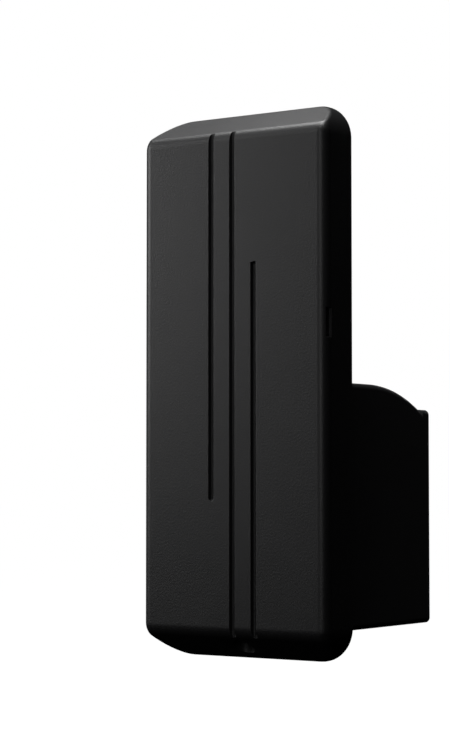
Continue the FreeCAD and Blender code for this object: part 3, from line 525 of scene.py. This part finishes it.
def add_piece(name: str, mesh: bpy.types.Mesh, palette: Palette, slot: Slot, nodes: Iterable[str] = (),
              body: Body = Body.CHASSIS) -> None:
    """Turn a mesh into a piece of the reader.

    Args:
        name: the piece's name.
        mesh: its mesh, in the frame's coordinates.
        palette: the finishes.
        slot: the slot it takes its finish from.
        nodes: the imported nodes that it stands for.
        body: the body it rides on.
    """
    mesh.name = name
    piece = linked(name, mesh)
    palette.dress(piece, slot)
    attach(piece, body.value)
    for node in nodes:
        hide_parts(node)
    LOG.info("built %s: %d faces", name, len(mesh.polygons))


def smooth(mesh: bpy.types.Mesh, angle: float) -> None:
    """Shade a mesh smooth, keeping edges sharper than an angle in degrees."""
    mesh.polygons.foreach_set("use_smooth", [True] * len(mesh.polygons))
    mesh.set_sharp_from_angle(angle=math.radians(angle))


def join_corners(mesh: bpy.types.Mesh, gap: float, drop: bool = True, outward: bool = False) -> None:
    """Join the corners of a mesh that lie closer than a gap.

    Args:
        mesh: the mesh.
        gap: the distance.
        drop: whether faces without area are dropped too.
        outward: whether every face is turned outwards too.
    """
    work = bmesh.new()
    work.from_mesh(mesh)
    bmesh.ops.remove_doubles(work, verts=work.verts, dist=gap)
    if drop:
        bmesh.ops.dissolve_degenerate(work, edges=work.edges, dist=gap)
    if outward:
        bmesh.ops.recalc_face_normals(work, faces=work.faces)
    work.to_mesh(mesh)
    work.free()


def combined(first: bpy.types.Mesh, second: bpy.types.Mesh, operation: str) -> bpy.types.Mesh:
    """Join two closed meshes by a Boolean.

    Args:
        first: a closed mesh.
        second: a closed mesh.
        operation: UNION, DIFFERENCE or INTERSECT.

    Returns:
        A new mesh.
    """
    things = [linked("blank", mesh) for mesh in (first, second)]
    modifier = things[0].modifiers.new("join", "BOOLEAN")
    modifier.operation = operation
    modifier.solver = "EXACT"
    modifier.object = things[1]
    graph = bpy.context.evaluated_depsgraph_get()
    result = bpy.data.meshes.new_from_object(things[0].evaluated_get(graph))
    for thing in things:
        bpy.data.objects.remove(thing)
    return result


def level_normals(mesh: bpy.types.Mesh, least: float) -> None:
    """Shade the large flat faces flat and let the narrow faces beside them turn towards them.

    Args:
        mesh: the mesh.
        least: area from which a face counts as large.
    """
    sums = [Vector() for _ in mesh.vertices]
    limit = math.cos(math.radians(COVER_ANGLE))
    for face in mesh.polygons:
        weight = face.area if face.area < least else face.area * LARGE_WEIGHT
        for index in face.vertices:
            sums[index] += face.normal * weight
    normals = []
    for face in mesh.polygons:
        for index in face.vertices:
            mean = sums[index].normalized()
            normals.append(face.normal if mean.dot(face.normal) < limit else mean)
    mesh.normals_split_custom_set(normals)


# --- front cover ---


@dataclass
class Groove:
    """One groove of the cover: where it lies and how round its closed end is."""

    x: float
    low: float
    high: float
    end_radius: float


@dataclass
class FrontCover:
    """The slab cover with sloping ends, rounded edges and three staggered grooves."""

    palette: Palette
    skin_gap: float = 0.03 * MM
    outline_radius: float = 7.5 * MM
    bevel_rise: float = 5.6 * MM
    bevel_run: float = 9.2 * MM
    bend_radius: float = 3.0 * MM
    edge_radius: float = 2.2 * MM
    margin: float = 2.4 * MM
    groove_width: float = 1.2 * MM
    groove_depth: float = 1.1 * MM
    groove_pitch: float = 5.5 * MM
    groove_shift: float = 0.03 * MM
    groove_floor: float = 0.35 * MM
    left_lip: float = 0.05 * MM
    right_lip: float = 0.24 * MM
    groove_draft: float = 0.03 * MM
    square_end: float = 0.2 * MM
    left_gap: float = 34.0 * MM
    right_gap: float = 33.7 * MM
    overrun: float = 3.0 * MM
    least_row: float = 0.004 * MM
    steps: int = 12
    floor_turns: tuple[float, ...] = (0.0, 18.0, 36.0, 54.0, 72.0, 90.0)
    lip_turns: tuple[float, ...] = (0.0, 22.0, 45.0, 68.0, 90.0)
    end_shares: tuple[float, ...] = (0.0, 0.2, 0.4, 0.6, 0.75, 0.87, 0.95)
    wall_shares: tuple[float, ...] = (0.25, 0.5, 0.75)
    contact_rounds: int = 12
    contact_step: float = 0.001 * MM

    def __post_init__(self) -> None:
        """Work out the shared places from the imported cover."""
        low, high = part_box("front_cover")
        self.half_width = high.x - self.skin_gap
        self.low_z = low.z + self.skin_gap
        self.high_z = high.z - self.skin_gap
        self.front_y = low.y + self.skin_gap
        self.depth = high.y - self.front_y + self.margin
        self.bend_angle = math.atan2(self.bevel_run, self.bevel_rise)
        self.bend_tangent = self.bend_radius * math.tan(self.bend_angle / 2)
        self.bend_start = self.bevel_rise + self.bend_tangent
        self.inner_radius = self.outline_radius - self.margin
        self.half = self.groove_width / 2
        self.flat = self.half - self.groove_floor
        self.wall = self.half + self.groove_draft
        top = high.z - self.bevel_rise + self.overrun
        bottom = low.z + self.bevel_rise - self.overrun
        centre = self.groove_shift
        left = Groove(centre - self.groove_pitch, low.z + self.left_gap, top, self.half)
        right = Groove(centre + self.groove_pitch, bottom, high.z - self.right_gap, self.square_end)
        self.grooves = [left, Groove(centre, bottom, top, self.half), right]

    def sink(self, z: float) -> float:
        """Return how far the top surface lies behind the front plane at a height.

        Args:
            z: the height.

        Returns:
            The distance, 0 on the flat front.
        """
        end = min(z - self.low_z, self.high_z - z)
        if end >= self.bend_start:
            return 0.0
        if end > self.bevel_rise - self.bend_tangent * math.cos(self.bend_angle):
            return self.bend_radius - math.sqrt(self.bend_radius ** 2 - (self.bend_start - end) ** 2)
        return self.bevel_run * (1 - end / self.bevel_rise)

    def groove_levels(self, lip: float) -> list[float]:
        """Return the distances from a groove's centre line at which its profile bends.

        Args:
            lip: radius of the rounded upper edge.

        Returns:
            The distances, from the floor outwards.
        """
        levels = [self.flat + self.groove_floor * math.sin(math.radians(turn)) for turn in self.floor_turns]
        return levels + [self.wall + lip * (1 - math.cos(math.radians(turn))) for turn in self.lip_turns]

    def groove_sink(self, reach: float, lip: float) -> float:
        """Return a groove's depth at a distance from its centre line.

        Args:
            reach: the distance.
            lip: radius of the rounded upper edge.

        Returns:
            The depth, 0 outside the groove.
        """
        if reach <= self.flat:
            return self.groove_depth
        if reach <= self.half:
            drop = math.sqrt(max(self.groove_floor ** 2 - (reach - self.flat) ** 2, 0.0))
            return self.groove_depth - self.groove_floor + drop
        if reach <= self.wall:
            height = self.groove_depth - self.groove_floor - lip
            return lip + height * (self.wall - reach) / self.groove_draft
        short = max(self.wall + lip - reach, 0.0)
        return lip - math.sqrt(lip ** 2 - short ** 2)

    def past_end(self, groove: Groove, z: float) -> float:
        """Return how far a height is past the centres of the corners of a groove's nearer end."""
        return max(groove.low + groove.end_radius - z, z - (groove.high - groove.end_radius))

    def groove_points(self, groove: Groove, z: float, sink: float) -> list[Vector]:
        """Return the points of one groove in a row, which draw together past its end.

        Args:
            groove: the groove.
            z: the row's height.
            sink: how far the top surface lies behind the front plane there.

        Returns:
            The points from left to right.
        """
        past = self.past_end(groove, z)
        sides = [(-level, self.left_lip) for level in reversed(self.groove_levels(self.left_lip))]
        sides += [(0.0, self.left_lip)]
        sides += [(level, self.right_lip) for level in self.groove_levels(self.right_lip)]
        points = []
        for side, lip in sides:
            level = abs(side)
            corner = level - self.half + groove.end_radius
            if past <= min(corner, 0.0):
                offset, reach = level, level
            elif past < corner:
                offset = level - corner + math.sqrt(corner ** 2 - past ** 2)
                reach = level
            else:
                offset, reach = 0.0, self.half - groove.end_radius + past
            deep = max(sink, self.groove_sink(reach, lip))
            x = groove.x + math.copysign(offset, side)
            points.append(Vector((x, self.front_y + deep, z)))
        return points

    def rows(self) -> list[float]:
        """Return the heights of the front's mesh rows, from bottom to top."""
        ends = []
        for start, radius, angle, steps in (
                (self.outline_radius, self.inner_radius, math.pi / 2, self.steps),
                (self.bend_start, self.bend_radius, self.bend_angle, 2 * self.steps)):
            ends += [start - radius * math.sin(angle * step / steps) for step in range(steps + 1)]
        heights = [self.low_z + end for end in ends] + [self.high_z - end for end in ends]
        levels = self.groove_levels(self.right_lip) + self.groove_levels(self.left_lip)
        left, _, right = self.grooves
        for end, way, corner in ((left.low, -1, left.end_radius), (right.high, 1, right.end_radius)):
            heights += [end + way * (level - self.half) for level in levels]
            heights += [end - way * corner * (1 - share) for share in self.end_shares]
        heights.sort()
        kept = [heights[0]]
        for height in heights[1:]:
            if height - kept[-1] > self.least_row:
                kept.append(height)
        return kept

    def edge_x(self, z: float) -> float:
        """Return half the width of the front's middle part.

        Args:
            z: the height.

        Returns:
            The half width there.
        """
        end = min(z - self.low_z, self.high_z - z)
        if end >= self.outline_radius:
            return self.half_width - self.margin
        fall = self.outline_radius - end
        return self.half_width - self.outline_radius + math.sqrt(max(self.inner_radius ** 2 - fall ** 2, 0.0))

    def row_points(self, z: float) -> list[Vector]:
        """Return one row of the front's points, from left to right.

        Args:
            z: the row's height.

        Returns:
            The points.
        """
        sink = self.sink(z)
        edge = self.edge_x(z)
        points = [Vector((-edge, self.front_y + sink, z))]
        for groove in self.grooves:
            points += self.groove_points(groove, z, sink)
        points.append(Vector((edge, self.front_y + sink, z)))
        return points

    def outward(self, inner: Vector) -> tuple[float, float]:
        """Return the way out of the front, in x and z, from a point on its middle part's border.

        Args:
            inner: the point.

        Returns:
            The unit vector's parts along x and z.
        """
        corner_x = self.half_width - self.outline_radius
        corner_z = min(max(inner.z, self.low_z + self.outline_radius), self.high_z - self.outline_radius)
        side = math.copysign(1.0, inner.x)
        if abs(inner.z - corner_z) < NOTHING:
            return side, 0.0
        if abs(inner.x) <= corner_x + NOTHING:
            return 0.0, math.copysign(1.0, inner.z - corner_z)
        away = Vector((abs(inner.x) - corner_x, 0.0, inner.z - corner_z)).normalized()
        return side * away.x, away.z

    def contact(self, outer_z: float, out_z: float) -> tuple[float, float]:
        """Return where the rounded edge meets the top surface.

        Args:
            outer_z: height of the outline's point.
            out_z: the part along z of the way out.

        Returns:
            How far inside the outline they meet, and the surface's tilt there.
        """
        radius, step = self.edge_radius, self.contact_step
        contact = radius
        for _ in range(self.contact_rounds):
            further = self.sink(outer_z - out_z * (contact + step))
            nearer = self.sink(outer_z - out_z * (contact - step))
            slope = (further - nearer) / (2 * step)
            contact = 0.5 * contact + 0.5 * radius * (1 + slope / math.hypot(1, slope))
        return contact, math.atan(-slope)

    def section(self, inner: Vector) -> list[Vector]:
        """Return the points from just outside the front's middle down the wall to the rear.

        Args:
            inner: a point on the middle part's border.

        Returns:
            The points, ending behind the rear edge.
        """
        out_x, out_z = self.outward(inner)
        outer = Vector((inner.x + out_x * self.margin, 0.0, inner.z + out_z * self.margin))
        radius = self.edge_radius
        contact, tilt = self.contact(outer.z, out_z)
        centre = self.sink(outer.z - out_z * contact) + radius * math.cos(tilt)
        insets = [self.margin + (contact - self.margin) * share for share in self.wall_shares]
        path = [(inset, self.sink(outer.z - out_z * inset)) for inset in insets]
        for step in range(self.steps + 1):
            turn = tilt + (math.pi / 2 - tilt) * step / self.steps
            path.append((radius - radius * math.sin(turn), centre - radius * math.cos(turn)))
        path += [(0.0, centre + (self.depth - centre) * 0.5), (0.0, self.depth)]
        return [Vector((outer.x - out_x * inset, self.front_y + sink, outer.z - out_z * inset))
                for inset, sink in path]

    def border(self, rows: int, width: int) -> list[int]:
        """Return the numbers of the points around a grid, in order.

        Args:
            rows: how many rows the grid has.
            width: how many points a row has.

        Returns:
            The numbers, from the first row's start.
        """
        last = (rows - 1) * width
        border = list(range(width)) + [row * width + width - 1 for row in range(1, rows)]
        border += [last + column for column in range(width - 2, -1, -1)]
        return border + [row * width for row in range(rows - 2, 0, -1)]

    def envelope(self) -> bpy.types.Mesh:
        """Return the closed outside of the cover, grooves included."""
        rows = [self.row_points(z) for z in self.rows()]
        points = [point for row in rows for point in row]
        width = len(rows[0])
        faces = []
        for row in range(len(rows) - 1):
            for column in range(width - 1):
                corner = row * width + column
                faces.append((corner, corner + 1, corner + width + 1, corner + width))
        border = self.border(len(rows), width)
        start = len(points)
        sections = [self.section(points[index]) for index in border]
        deep = len(sections[0])
        for section in sections:
            points += section
        count = len(border)
        for place in range(count):
            following = (place + 1) % count
            here, there = start + place * deep, start + following * deep
            faces.append((border[following], border[place], here, there))
            faces += [(there + step, here + step, here + step + 1, there + step + 1)
                      for step in range(deep - 1)]
        faces.append([start + place * deep + deep - 1 for place in range(count)])
        mesh = bpy.data.meshes.new("cover_envelope")
        mesh.from_pydata(points, [], faces)
        join_corners(mesh, CLOSE, outward=True)
        return mesh

    def fillers(self) -> bpy.types.Mesh:
        """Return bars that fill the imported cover's grooves, which the envelope cuts anew."""
        work = bmesh.new()
        start = self.bevel_rise - self.bend_tangent / 2
        length = self.high_z - self.low_z - 2 * start
        size = Vector((2 * self.groove_width, self.groove_depth + 2 * self.left_lip, length))
        middle_y = self.front_y + size.y / 2 - self.skin_gap
        for groove in self.grooves:
            middle = Vector((groove.x, middle_y, (self.low_z + self.high_z) / 2))
            place = Matrix.Translation(middle) @ Matrix.Diagonal((*size, 1.0))
            bmesh.ops.create_cube(work, size=1.0, matrix=place)
        mesh = bpy.data.meshes.new("groove_fillers")
        work.to_mesh(mesh)
        work.free()
        return mesh

    def build(self) -> None:
        """Build the cover: the inside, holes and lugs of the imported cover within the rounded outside."""
        packed = frame["nodes"]["front_cover"].data.copy()
        join_corners(packed, PACKED_MERGE, drop=False)
        filled = combined(packed, self.fillers(), "UNION")
        shell = combined(self.envelope(), filled, "INTERSECT")
        join_corners(shell, MERGE)
        smooth(shell, COVER_ANGLE)
        level_normals(shell, self.margin * self.margin)
        add_piece("cover_shell", shell, self.palette, Slot.COVER, ["front_cover"], Body.COVER)


# --- small parts ---


@dataclass(frozen=True)
class Layer:
    """One level of a stacked solid: a rounded outline at a depth."""

    y: float
    width: float
    height: float
    radius: float

    def points(self, centre: Vector, steps: int) -> list[Vector]:
        """Return the outline's points around a centre.

        Args:
            centre: the middle of the outline, whose depth is not used.
            steps: pieces in each rounded corner.

        Returns:
            The points, all at the layer's depth.
        """
        radius = min(self.radius, self.width / 2, self.height / 2)
        across, along = self.width / 2 - radius, self.height / 2 - radius
        points = []
        for corner, (side_x, side_z) in enumerate(((1, 1), (-1, 1), (-1, -1), (1, -1))):
            for step in range(steps + 1):
                turn = math.pi / 2 * (corner + step / steps)
                x = centre.x + side_x * across + radius * math.cos(turn)
                z = centre.z + side_z * along + radius * math.sin(turn)
                points.append(Vector((x, self.y, z)))
        return points


def disc(y: float, wide: float) -> Layer:
    """Return a round outline at a depth."""
    return Layer(y, wide, wide, wide / 2)


class Stack:
    """Closed solids of stacked outlines, gathered in one mesh."""

    def __init__(self, steps: int = CORNER_STEPS) -> None:
        """Start empty, with a number of pieces in each rounded corner."""
        self.steps = steps
        self.work = bmesh.new()

    def add(self, centre: Vector, layers: Sequence[Layer]) -> None:
        """Add one closed solid of layers around a centre, from one end to the other."""
        self.close([layer.points(centre, self.steps) for layer in layers])

    def close(self, outlines: Sequence[Sequence[Vector]]) -> None:
        """Add the walls between outlines and a face at each end.

        Args:
            outlines: the outlines, with the same number of points each.
        """
        rings = [[self.work.verts.new(point) for point in outline] for outline in outlines]
        count = len(rings[0])
        for near, far in zip(rings, rings[1:]):
            for place in range(count):
                following = (place + 1) % count
                self.work.faces.new((near[place], near[following], far[following], far[place]))
        self.work.faces.new(rings[0])
        self.work.faces.new(rings[-1])

    def strip(self, outline: Sequence[tuple[float, float]], low_z: float, high_z: float) -> None:
        """Add a solid whose outline in x and y is drawn out from low_z to high_z."""
        self.close([[Vector((x, y, z)) for x, y in outline] for z in (low_z, high_z)])

    def mesh(self, name: str) -> bpy.types.Mesh:
        """Gather the solids in one mesh.

        Args:
            name: the mesh's name.

        Returns:
            The mesh, smooth but for its sharp edges.
        """
        mesh = bpy.data.meshes.new(name)
        self.work.to_mesh(mesh)
        self.work.free()
        join_corners(mesh, MERGE, outward=True)
        smooth(mesh, PART_ANGLE)
        return mesh


def rounded_end(y: float, width: float, height: float, radius: float, edge: float, way: int) -> list[Layer]:
    """Return the layers of an end whose rim is rounded.

    Args:
        y: depth of the end face.
        width: the solid's width.
        height: the solid's height.
        radius: its corner radius.
        edge: radius of the rounded rim.
        way: the direction along y in which the end faces.

    Returns:
        The layers, from the side wall to the end face.
    """
    layers = []
    for step in range(RIM_STEPS + 1):
        turn = math.pi / 2 * step / RIM_STEPS
        inset = edge * (1 - math.cos(turn))
        depth = y - way * edge * (1 - math.sin(turn))
        layers.append(Layer(depth, width - 2 * inset, height - 2 * inset, max(radius - inset, 0.0)))
    return layers


@dataclass
class Chip:
    """A square moulded chip with bent leads on two sides."""

    palette: Palette
    node: str
    leads: int = 8
    standoff: float = 0.1 * MM
    draft: float = 0.12 * MM
    corner: float = 0.15 * MM
    lead_sheet: float = 0.15 * MM
    lead_share: float = 0.42
    foot_share: float = 0.55
    dimple_radius: float = 0.4 * MM
    dimple_depth: float = 0.1 * MM
    dimple_share: float = 0.34

    def build(self) -> None:
        """Build the case with its marking dimple, and the leads."""
        low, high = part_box(self.node)
        side = high.z - low.z
        centre = (low + high) / 2
        rear = high.y - self.standoff
        parting = (low.y + rear) / 2
        small = side - 2 * self.draft
        case = Stack()
        case.add(centre, [Layer(y, wide, wide, self.corner)
                          for y, wide in ((rear, small), (parting, side), (low.y, small))])
        reach = self.dimple_share * side
        place = centre + Vector((-reach, 0.0, reach))
        cutter = Stack()
        wide = 2 * self.dimple_radius
        cutter.add(place, [disc(low.y - self.dimple_depth, wide), disc(low.y + self.dimple_depth, wide)])
        mesh = combined(case.mesh("chip_case"), cutter.mesh("chip_dimple"), "DIFFERENCE")
        smooth(mesh, CHIP_ANGLE)
        add_piece(f"{self.node}_case", mesh, self.palette, Slot.RESIN, [self.node])
        self.build_leads(low, high, side, parting)

    def build_leads(self, low: Vector, high: Vector, side: float, parting: float) -> None:
        """Build the two rows of bent leads.

        Args:
            low: the chip's lower corner.
            high: the chip's upper corner.
            side: the case's side.
            parting: depth of the plane in which the leads leave the case.
        """
        legs = Stack()
        middle = (low.x + high.x) / 2
        pitch = side / self.leads
        for way in (-1, 1):
            case_x = middle + way * (side / 2 - self.draft)
            toe = high.x if way > 0 else low.x
            knee = toe - way * self.foot_share * (abs(toe - middle) - side / 2)
            sheet = self.lead_sheet
            outline = [(case_x, parting - sheet / 2), (knee, parting - sheet / 2), (knee, high.y - sheet),
                       (toe, high.y - sheet), (toe, high.y), (knee - way * sheet, high.y),
                       (knee - way * sheet, parting + sheet / 2), (case_x, parting + sheet / 2)]
            for place in range(self.leads):
                level = low.z + (place + 0.5) * pitch
                half = pitch * self.lead_share / 2
                legs.strip(outline, level - half, level + half)
        add_piece(f"{self.node}_leads", legs.mesh("chip_leads"), self.palette, Slot.STEEL)


@dataclass
class Cans:
    """The parts in cans on the main board: two capacitors, the crystal and the buzzer."""

    palette: Palette
    foot: float = 0.8 * MM
    crimp_inset: float = 0.22 * MM
    crimp_length: float = 0.5 * MM
    rim: float = 0.45 * MM
    score_width: float = 0.2 * MM
    score_depth: float = 0.08 * MM
    score_share: float = 0.6
    flange: float = 0.35 * MM
    flange_inset: float = 0.3 * MM
    port_radius: float = 1.0 * MM
    port_depth: float = 0.8 * MM
    steps: int = 8
    buzzer_steps: int = 10

    def build(self) -> None:
        """Build all of them."""
        self.build_capacitors()
        self.build_crystal()
        self.build_buzzer()

    def build_capacitors(self) -> None:
        """Build the two capacitors: a chamfered foot, a crimped can and a scored top."""
        low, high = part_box("capacitors")
        base = high.z - low.z
        wide = base - 2 * self.flange_inset
        cans, feet, scores = Stack(self.steps), Stack(1), (Stack(1), Stack(1))
        for x in (low.x + base / 2, high.x - base / 2):
            centre = Vector((x, 0.0, (low.z + high.z) / 2))
            foot = (base, base, self.crimp_length)
            feet.add(centre, [Layer(low.y, *foot), Layer(low.y + self.foot, *foot)])
            thin = wide - 2 * self.crimp_inset
            start = low.y + self.foot / 2
            crimp = low.y + 2 * self.foot
            side = [disc(start, wide), disc(crimp, wide), disc(crimp + self.crimp_length / 2, thin),
                    disc(crimp + self.crimp_length, wide)]
            cans.add(centre, side + rounded_end(high.y, wide, wide, wide / 2, self.rim, 1))
            length = self.score_share * wide
            for score, span in zip(scores, ((length, self.score_width), (self.score_width, length))):
                score.add(centre, [Layer(high.y - self.score_depth, *span, self.score_depth),
                                   Layer(high.y + self.score_depth, *span, self.score_depth)])
        walls = cans.mesh("can_walls")
        for score in scores:
            walls = combined(walls, score.mesh("can_scores"), "DIFFERENCE")
        smooth(walls, PART_ANGLE)
        add_piece("capacitor_cans", walls, self.palette, Slot.CAN, ["capacitors"])
        add_piece("capacitor_feet", feet.mesh("can_feet"), self.palette, Slot.RESIN)

    def build_crystal(self) -> None:
        """Build the crystal: a flange on the board and a drawn can with a rounded top."""
        low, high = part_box("crystal")
        centre = (low + high) / 2
        width, height = high.x - low.x, high.z - low.z
        can = Stack(self.steps)
        edge = high.y - self.flange
        outer = (width, height, width / 2)
        small = width - 2 * self.flange_inset
        inner = (small, height - 2 * self.flange_inset, small / 2)
        can.add(centre, [Layer(high.y, *outer), Layer(edge, *outer), Layer(edge, *inner),
                         *rounded_end(low.y, *inner, self.rim, -1)])
        add_piece("crystal_can", can.mesh("crystal_can"), self.palette, Slot.CRYSTAL, ["crystal"])

    def build_buzzer(self) -> None:
        """Build the buzzer: a round case with a rounded rim and a sound port."""
        low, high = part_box("buzzer")
        centre = (low + high) / 2
        wide = high.x - low.x
        port = 2 * self.port_radius
        case = Stack(self.buzzer_steps)
        rim = rounded_end(high.y, wide, wide, wide / 2, self.rim, 1)
        opening = [disc(high.y, port), disc(high.y - self.port_depth, port)]
        case.add(centre, [disc(low.y, wide), *rim, *opening])
        add_piece("buzzer_case", case.mesh("buzzer_case"), self.palette, Slot.RESIN, ["buzzer"])


@dataclass
class StatusLamp:
    """The indicator: a flat base with a rounded lens on it."""

    palette: Palette
    base_share: float = 0.4
    lens_share: float = 0.62
    edge: float = 0.25 * MM

    def build(self) -> None:
        """Build the base and the lens."""
        low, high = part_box("status_led")
        centre = (low + high) / 2
        width, height = high.x - low.x, high.z - low.z
        top = high.y - self.base_share * (high.y - low.y)
        lamp = Stack()
        base = (width, height, self.edge / 2)
        lamp.add(centre, [Layer(high.y, *base), Layer(top, *base)])
        lens = (self.lens_share * width, height - self.edge, self.edge)
        lamp.add(centre, [Layer(top, *lens), *rounded_end(low.y, *lens, self.edge, -1)])
        add_piece("status_lamp", lamp.mesh("status_lamp"), self.palette, Slot.LENS, ["status_led"])


class EdgeWidth(Enum):
    """How far the sharp edges of the carried-over pieces are rounded."""

    CASE = 0.2 * MM
    BOARD = 0.06 * MM
    PART = 0.08 * MM


@dataclass
class SoftEdges:
    """Small rounded edges on the carried-over pieces, which catch a line of light."""

    cases: tuple[str, ...] = ("rear_housing", "wall_plate", "back_plate")
    boards: tuple[str, ...] = ("main_board", "antenna_board", "ferrite_sheet")
    parts: tuple[str, ...] = ("terminal_block", "dip_switch", "stacking_header", "stacking_socket",
                              "regulator", "cover_nut", "tamper_case", "cable_grommet", "dip_slider_1",
                              "dip_slider_2", "dip_slider_3", "dip_slider_4")

    def build(self) -> None:
        """Round the edges of every piece by its own width."""
        widths = zip((self.cases, self.boards, self.parts), EdgeWidth)
        for name, width in ((name, width) for names, width in widths for name in names):
            self.soften(frame["nodes"][name], width.value)
            LOG.info("rounded the edges of %s by %.2f mm", name, width.value / MM)

    def soften(self, piece: bpy.types.Object, width: float) -> None:
        """Add the modifiers that round a piece's sharp edges.

        Args:
            piece: the piece.
            width: how far the edges are rounded.
        """
        weld = piece.modifiers.new("joined", "WELD")
        weld.merge_threshold = MERGE
        bevel = piece.modifiers.new("soft_edges", "BEVEL")
        bevel.width = width
        bevel.segments = 2
        bevel.limit_method = "ANGLE"
        bevel.angle_limit = math.radians(BEVEL_ANGLE)
        bevel.harden_normals = True
        weighted = piece.modifiers.new("weighted", "WEIGHTED_NORMAL")
        weighted.keep_sharp = True
        weighted.weight = 100


# --- studio ---


@dataclass
class Softbox:
    """A soft rectangular light, placed by direction and distance from the reader."""

    name: str
    azimuth: float
    elevation: float
    distance: float
    width: float
    height: float
    power: float
    glossy: bool = True

    def build(self, target: Vector) -> None:
        """Place the light so that it faces a point.

        Args:
            target: the point.
        """
        data = bpy.data.lights.new(self.name, "AREA")
        data.shape = "RECTANGLE"
        data.size = self.width
        data.size_y = self.height
        data.energy = self.power
        lamp = linked(self.name, data)
        lamp.visible_glossy = self.glossy
        lamp.location = target + direction(self.azimuth, self.elevation) * self.distance
        lamp.rotation_euler = (target - lamp.location).to_track_quat("-Z", "Y").to_euler()


def direction(azimuth: float, elevation: float) -> Vector:
    """Return the unit vector towards an azimuth, 0 in front and 90 to the right, and an elevation."""
    turn, rise = math.radians(azimuth), math.radians(elevation)
    return Vector((math.sin(turn) * math.cos(rise), -math.cos(turn) * math.cos(rise), math.sin(rise)))


@dataclass
class Studio:
    """Pale floor, white surroundings that don't light the reader, and soft lights."""

    floor_drop: float = 0.08
    floor_size: float = 12.0
    speckle_size: float = 0.02
    dark_speckle: Colour = (0.86, 0.86, 0.86)
    pale_speckle: Colour = (0.9, 0.9, 0.9)
    lights: list[Softbox] = field(default_factory=lambda: [
        Softbox("left_key", -60.0, 20.0, 0.45, 0.12, 0.30, 0.75),
        Softbox("left_front", -45.0, 8.0, 0.50, 0.15, 0.20, 0.10),
        Softbox("overhead", -40.0, 80.0, 0.35, 0.30, 0.12, 1.4),
        Softbox("front_level", -25.0, 25.0, 0.55, 0.30, 0.20, 0.05),
        Softbox("right_edge", 10.0, 12.0, 0.50, 0.08, 0.30, 0.22),
        Softbox("rear_fill", 180.0, 22.0, 0.55, 0.30, 0.30, 4.0, glossy=False),
    ])

    def build(self) -> None:
        """Build the surroundings and the lights."""
        low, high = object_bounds()
        middle = (Vector(low) + Vector(high)) / 2
        self.world()
        self.floor(Vector(low).z - self.floor_drop)
        for light in self.lights:
            light.build(middle)
            LOG.info("placed light %s", light.name)

    def world(self) -> None:
        """Make surroundings that look white and cast no light of their own."""
        world = bpy.data.worlds.new("studio_world")
        bpy.context.scene.world = world
        world.use_nodes = True
        tree = world.node_tree
        background = tree.nodes["Background"]
        rays = tree.nodes.new("ShaderNodeLightPath")
        background.inputs["Color"].default_value = (1.0, 1.0, 1.0, 1.0)
        tree.links.new(rays.outputs["Is Camera Ray"], background.inputs["Strength"])

    def floor(self, height: float) -> None:
        """Make the pale floor.

        Args:
            height: its level.
        """
        half = self.floor_size / 2
        mesh = bpy.data.meshes.new("studio_floor")
        corners = [(-half, -half), (half, -half), (half, half), (-half, half)]
        mesh.from_pydata([(x, y, height) for x, y in corners], [], [(0, 1, 2, 3)])
        floor = linked("studio_floor", mesh)
        shader = Shader("floor_pale")
        speckle = shader.noise(self.speckle_size, 3.0)
        colour = shader.tint(speckle, self.dark_speckle, self.pale_speckle)
        pale = shader.finish(Base_Color=colour, Roughness=0.9, Emission_Color=(1.0, 1.0, 1.0),
                             Emission_Strength=1.0)
        mesh.materials.append(pale)
        floor.visible_diffuse = False
        floor.visible_glossy = False
        floor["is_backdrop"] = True


@dataclass
class View:
    """The camera, aimed by direction at a point near the middle of the front."""

    azimuth: float = 35.0
    rise: float = 3.0
    distance: float = 0.457
    lens: float = 104.5
    sensor: float = 36.0
    near: float = 0.01
    far: float = 50.0
    aim_shift: Point = (-0.7 * MM, -1.4 * MM, 3.1 * MM)

    def build(self) -> None:
        """Create the camera and make it the scene's."""
        low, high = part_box("front_cover")
        face = Vector(((low.x + high.x) / 2, low.y, (low.z + high.z) / 2))
        aim = face + Vector(self.aim_shift)
        data = bpy.data.cameras.new("camera")
        data.lens = self.lens
        data.sensor_width = self.sensor
        data.clip_start = self.near
        data.clip_end = self.far
        camera = linked("camera", data)
        away = direction(self.azimuth, -self.rise)
        camera.location = aim + away * self.distance
        camera.rotation_euler = (-away).to_track_quat("-Z", "Y").to_euler()
        bpy.context.scene.camera = camera


# --- the whole ---


def clear_start_up() -> None:
    """Remove whatever the scene held before the frame."""
    kept = set(frame["nodes"].values()) | set(frame["bodies"].values())
    for thing in list(bpy.data.objects):
        if thing not in kept:
            bpy.data.objects.remove(thing)


def main() -> None:
    """Build the reader's looks, the studio and the camera."""
    logging.basicConfig(level=logging.INFO, format="%(message)s")
    clear_start_up()
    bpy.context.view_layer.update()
    palette = Palette()
    palette.dress_nodes()
    FrontCover(palette).build()
    for node in ("microcontroller", "reader_chip"):
        Chip(palette, node).build()
    Cans(palette).build()
    StatusLamp(palette).build()
    SoftEdges().build()
    Studio().build()
    View().build()
    bpy.context.scene.view_settings.view_transform = "Standard"


if __name__ == "__main__":
    main()
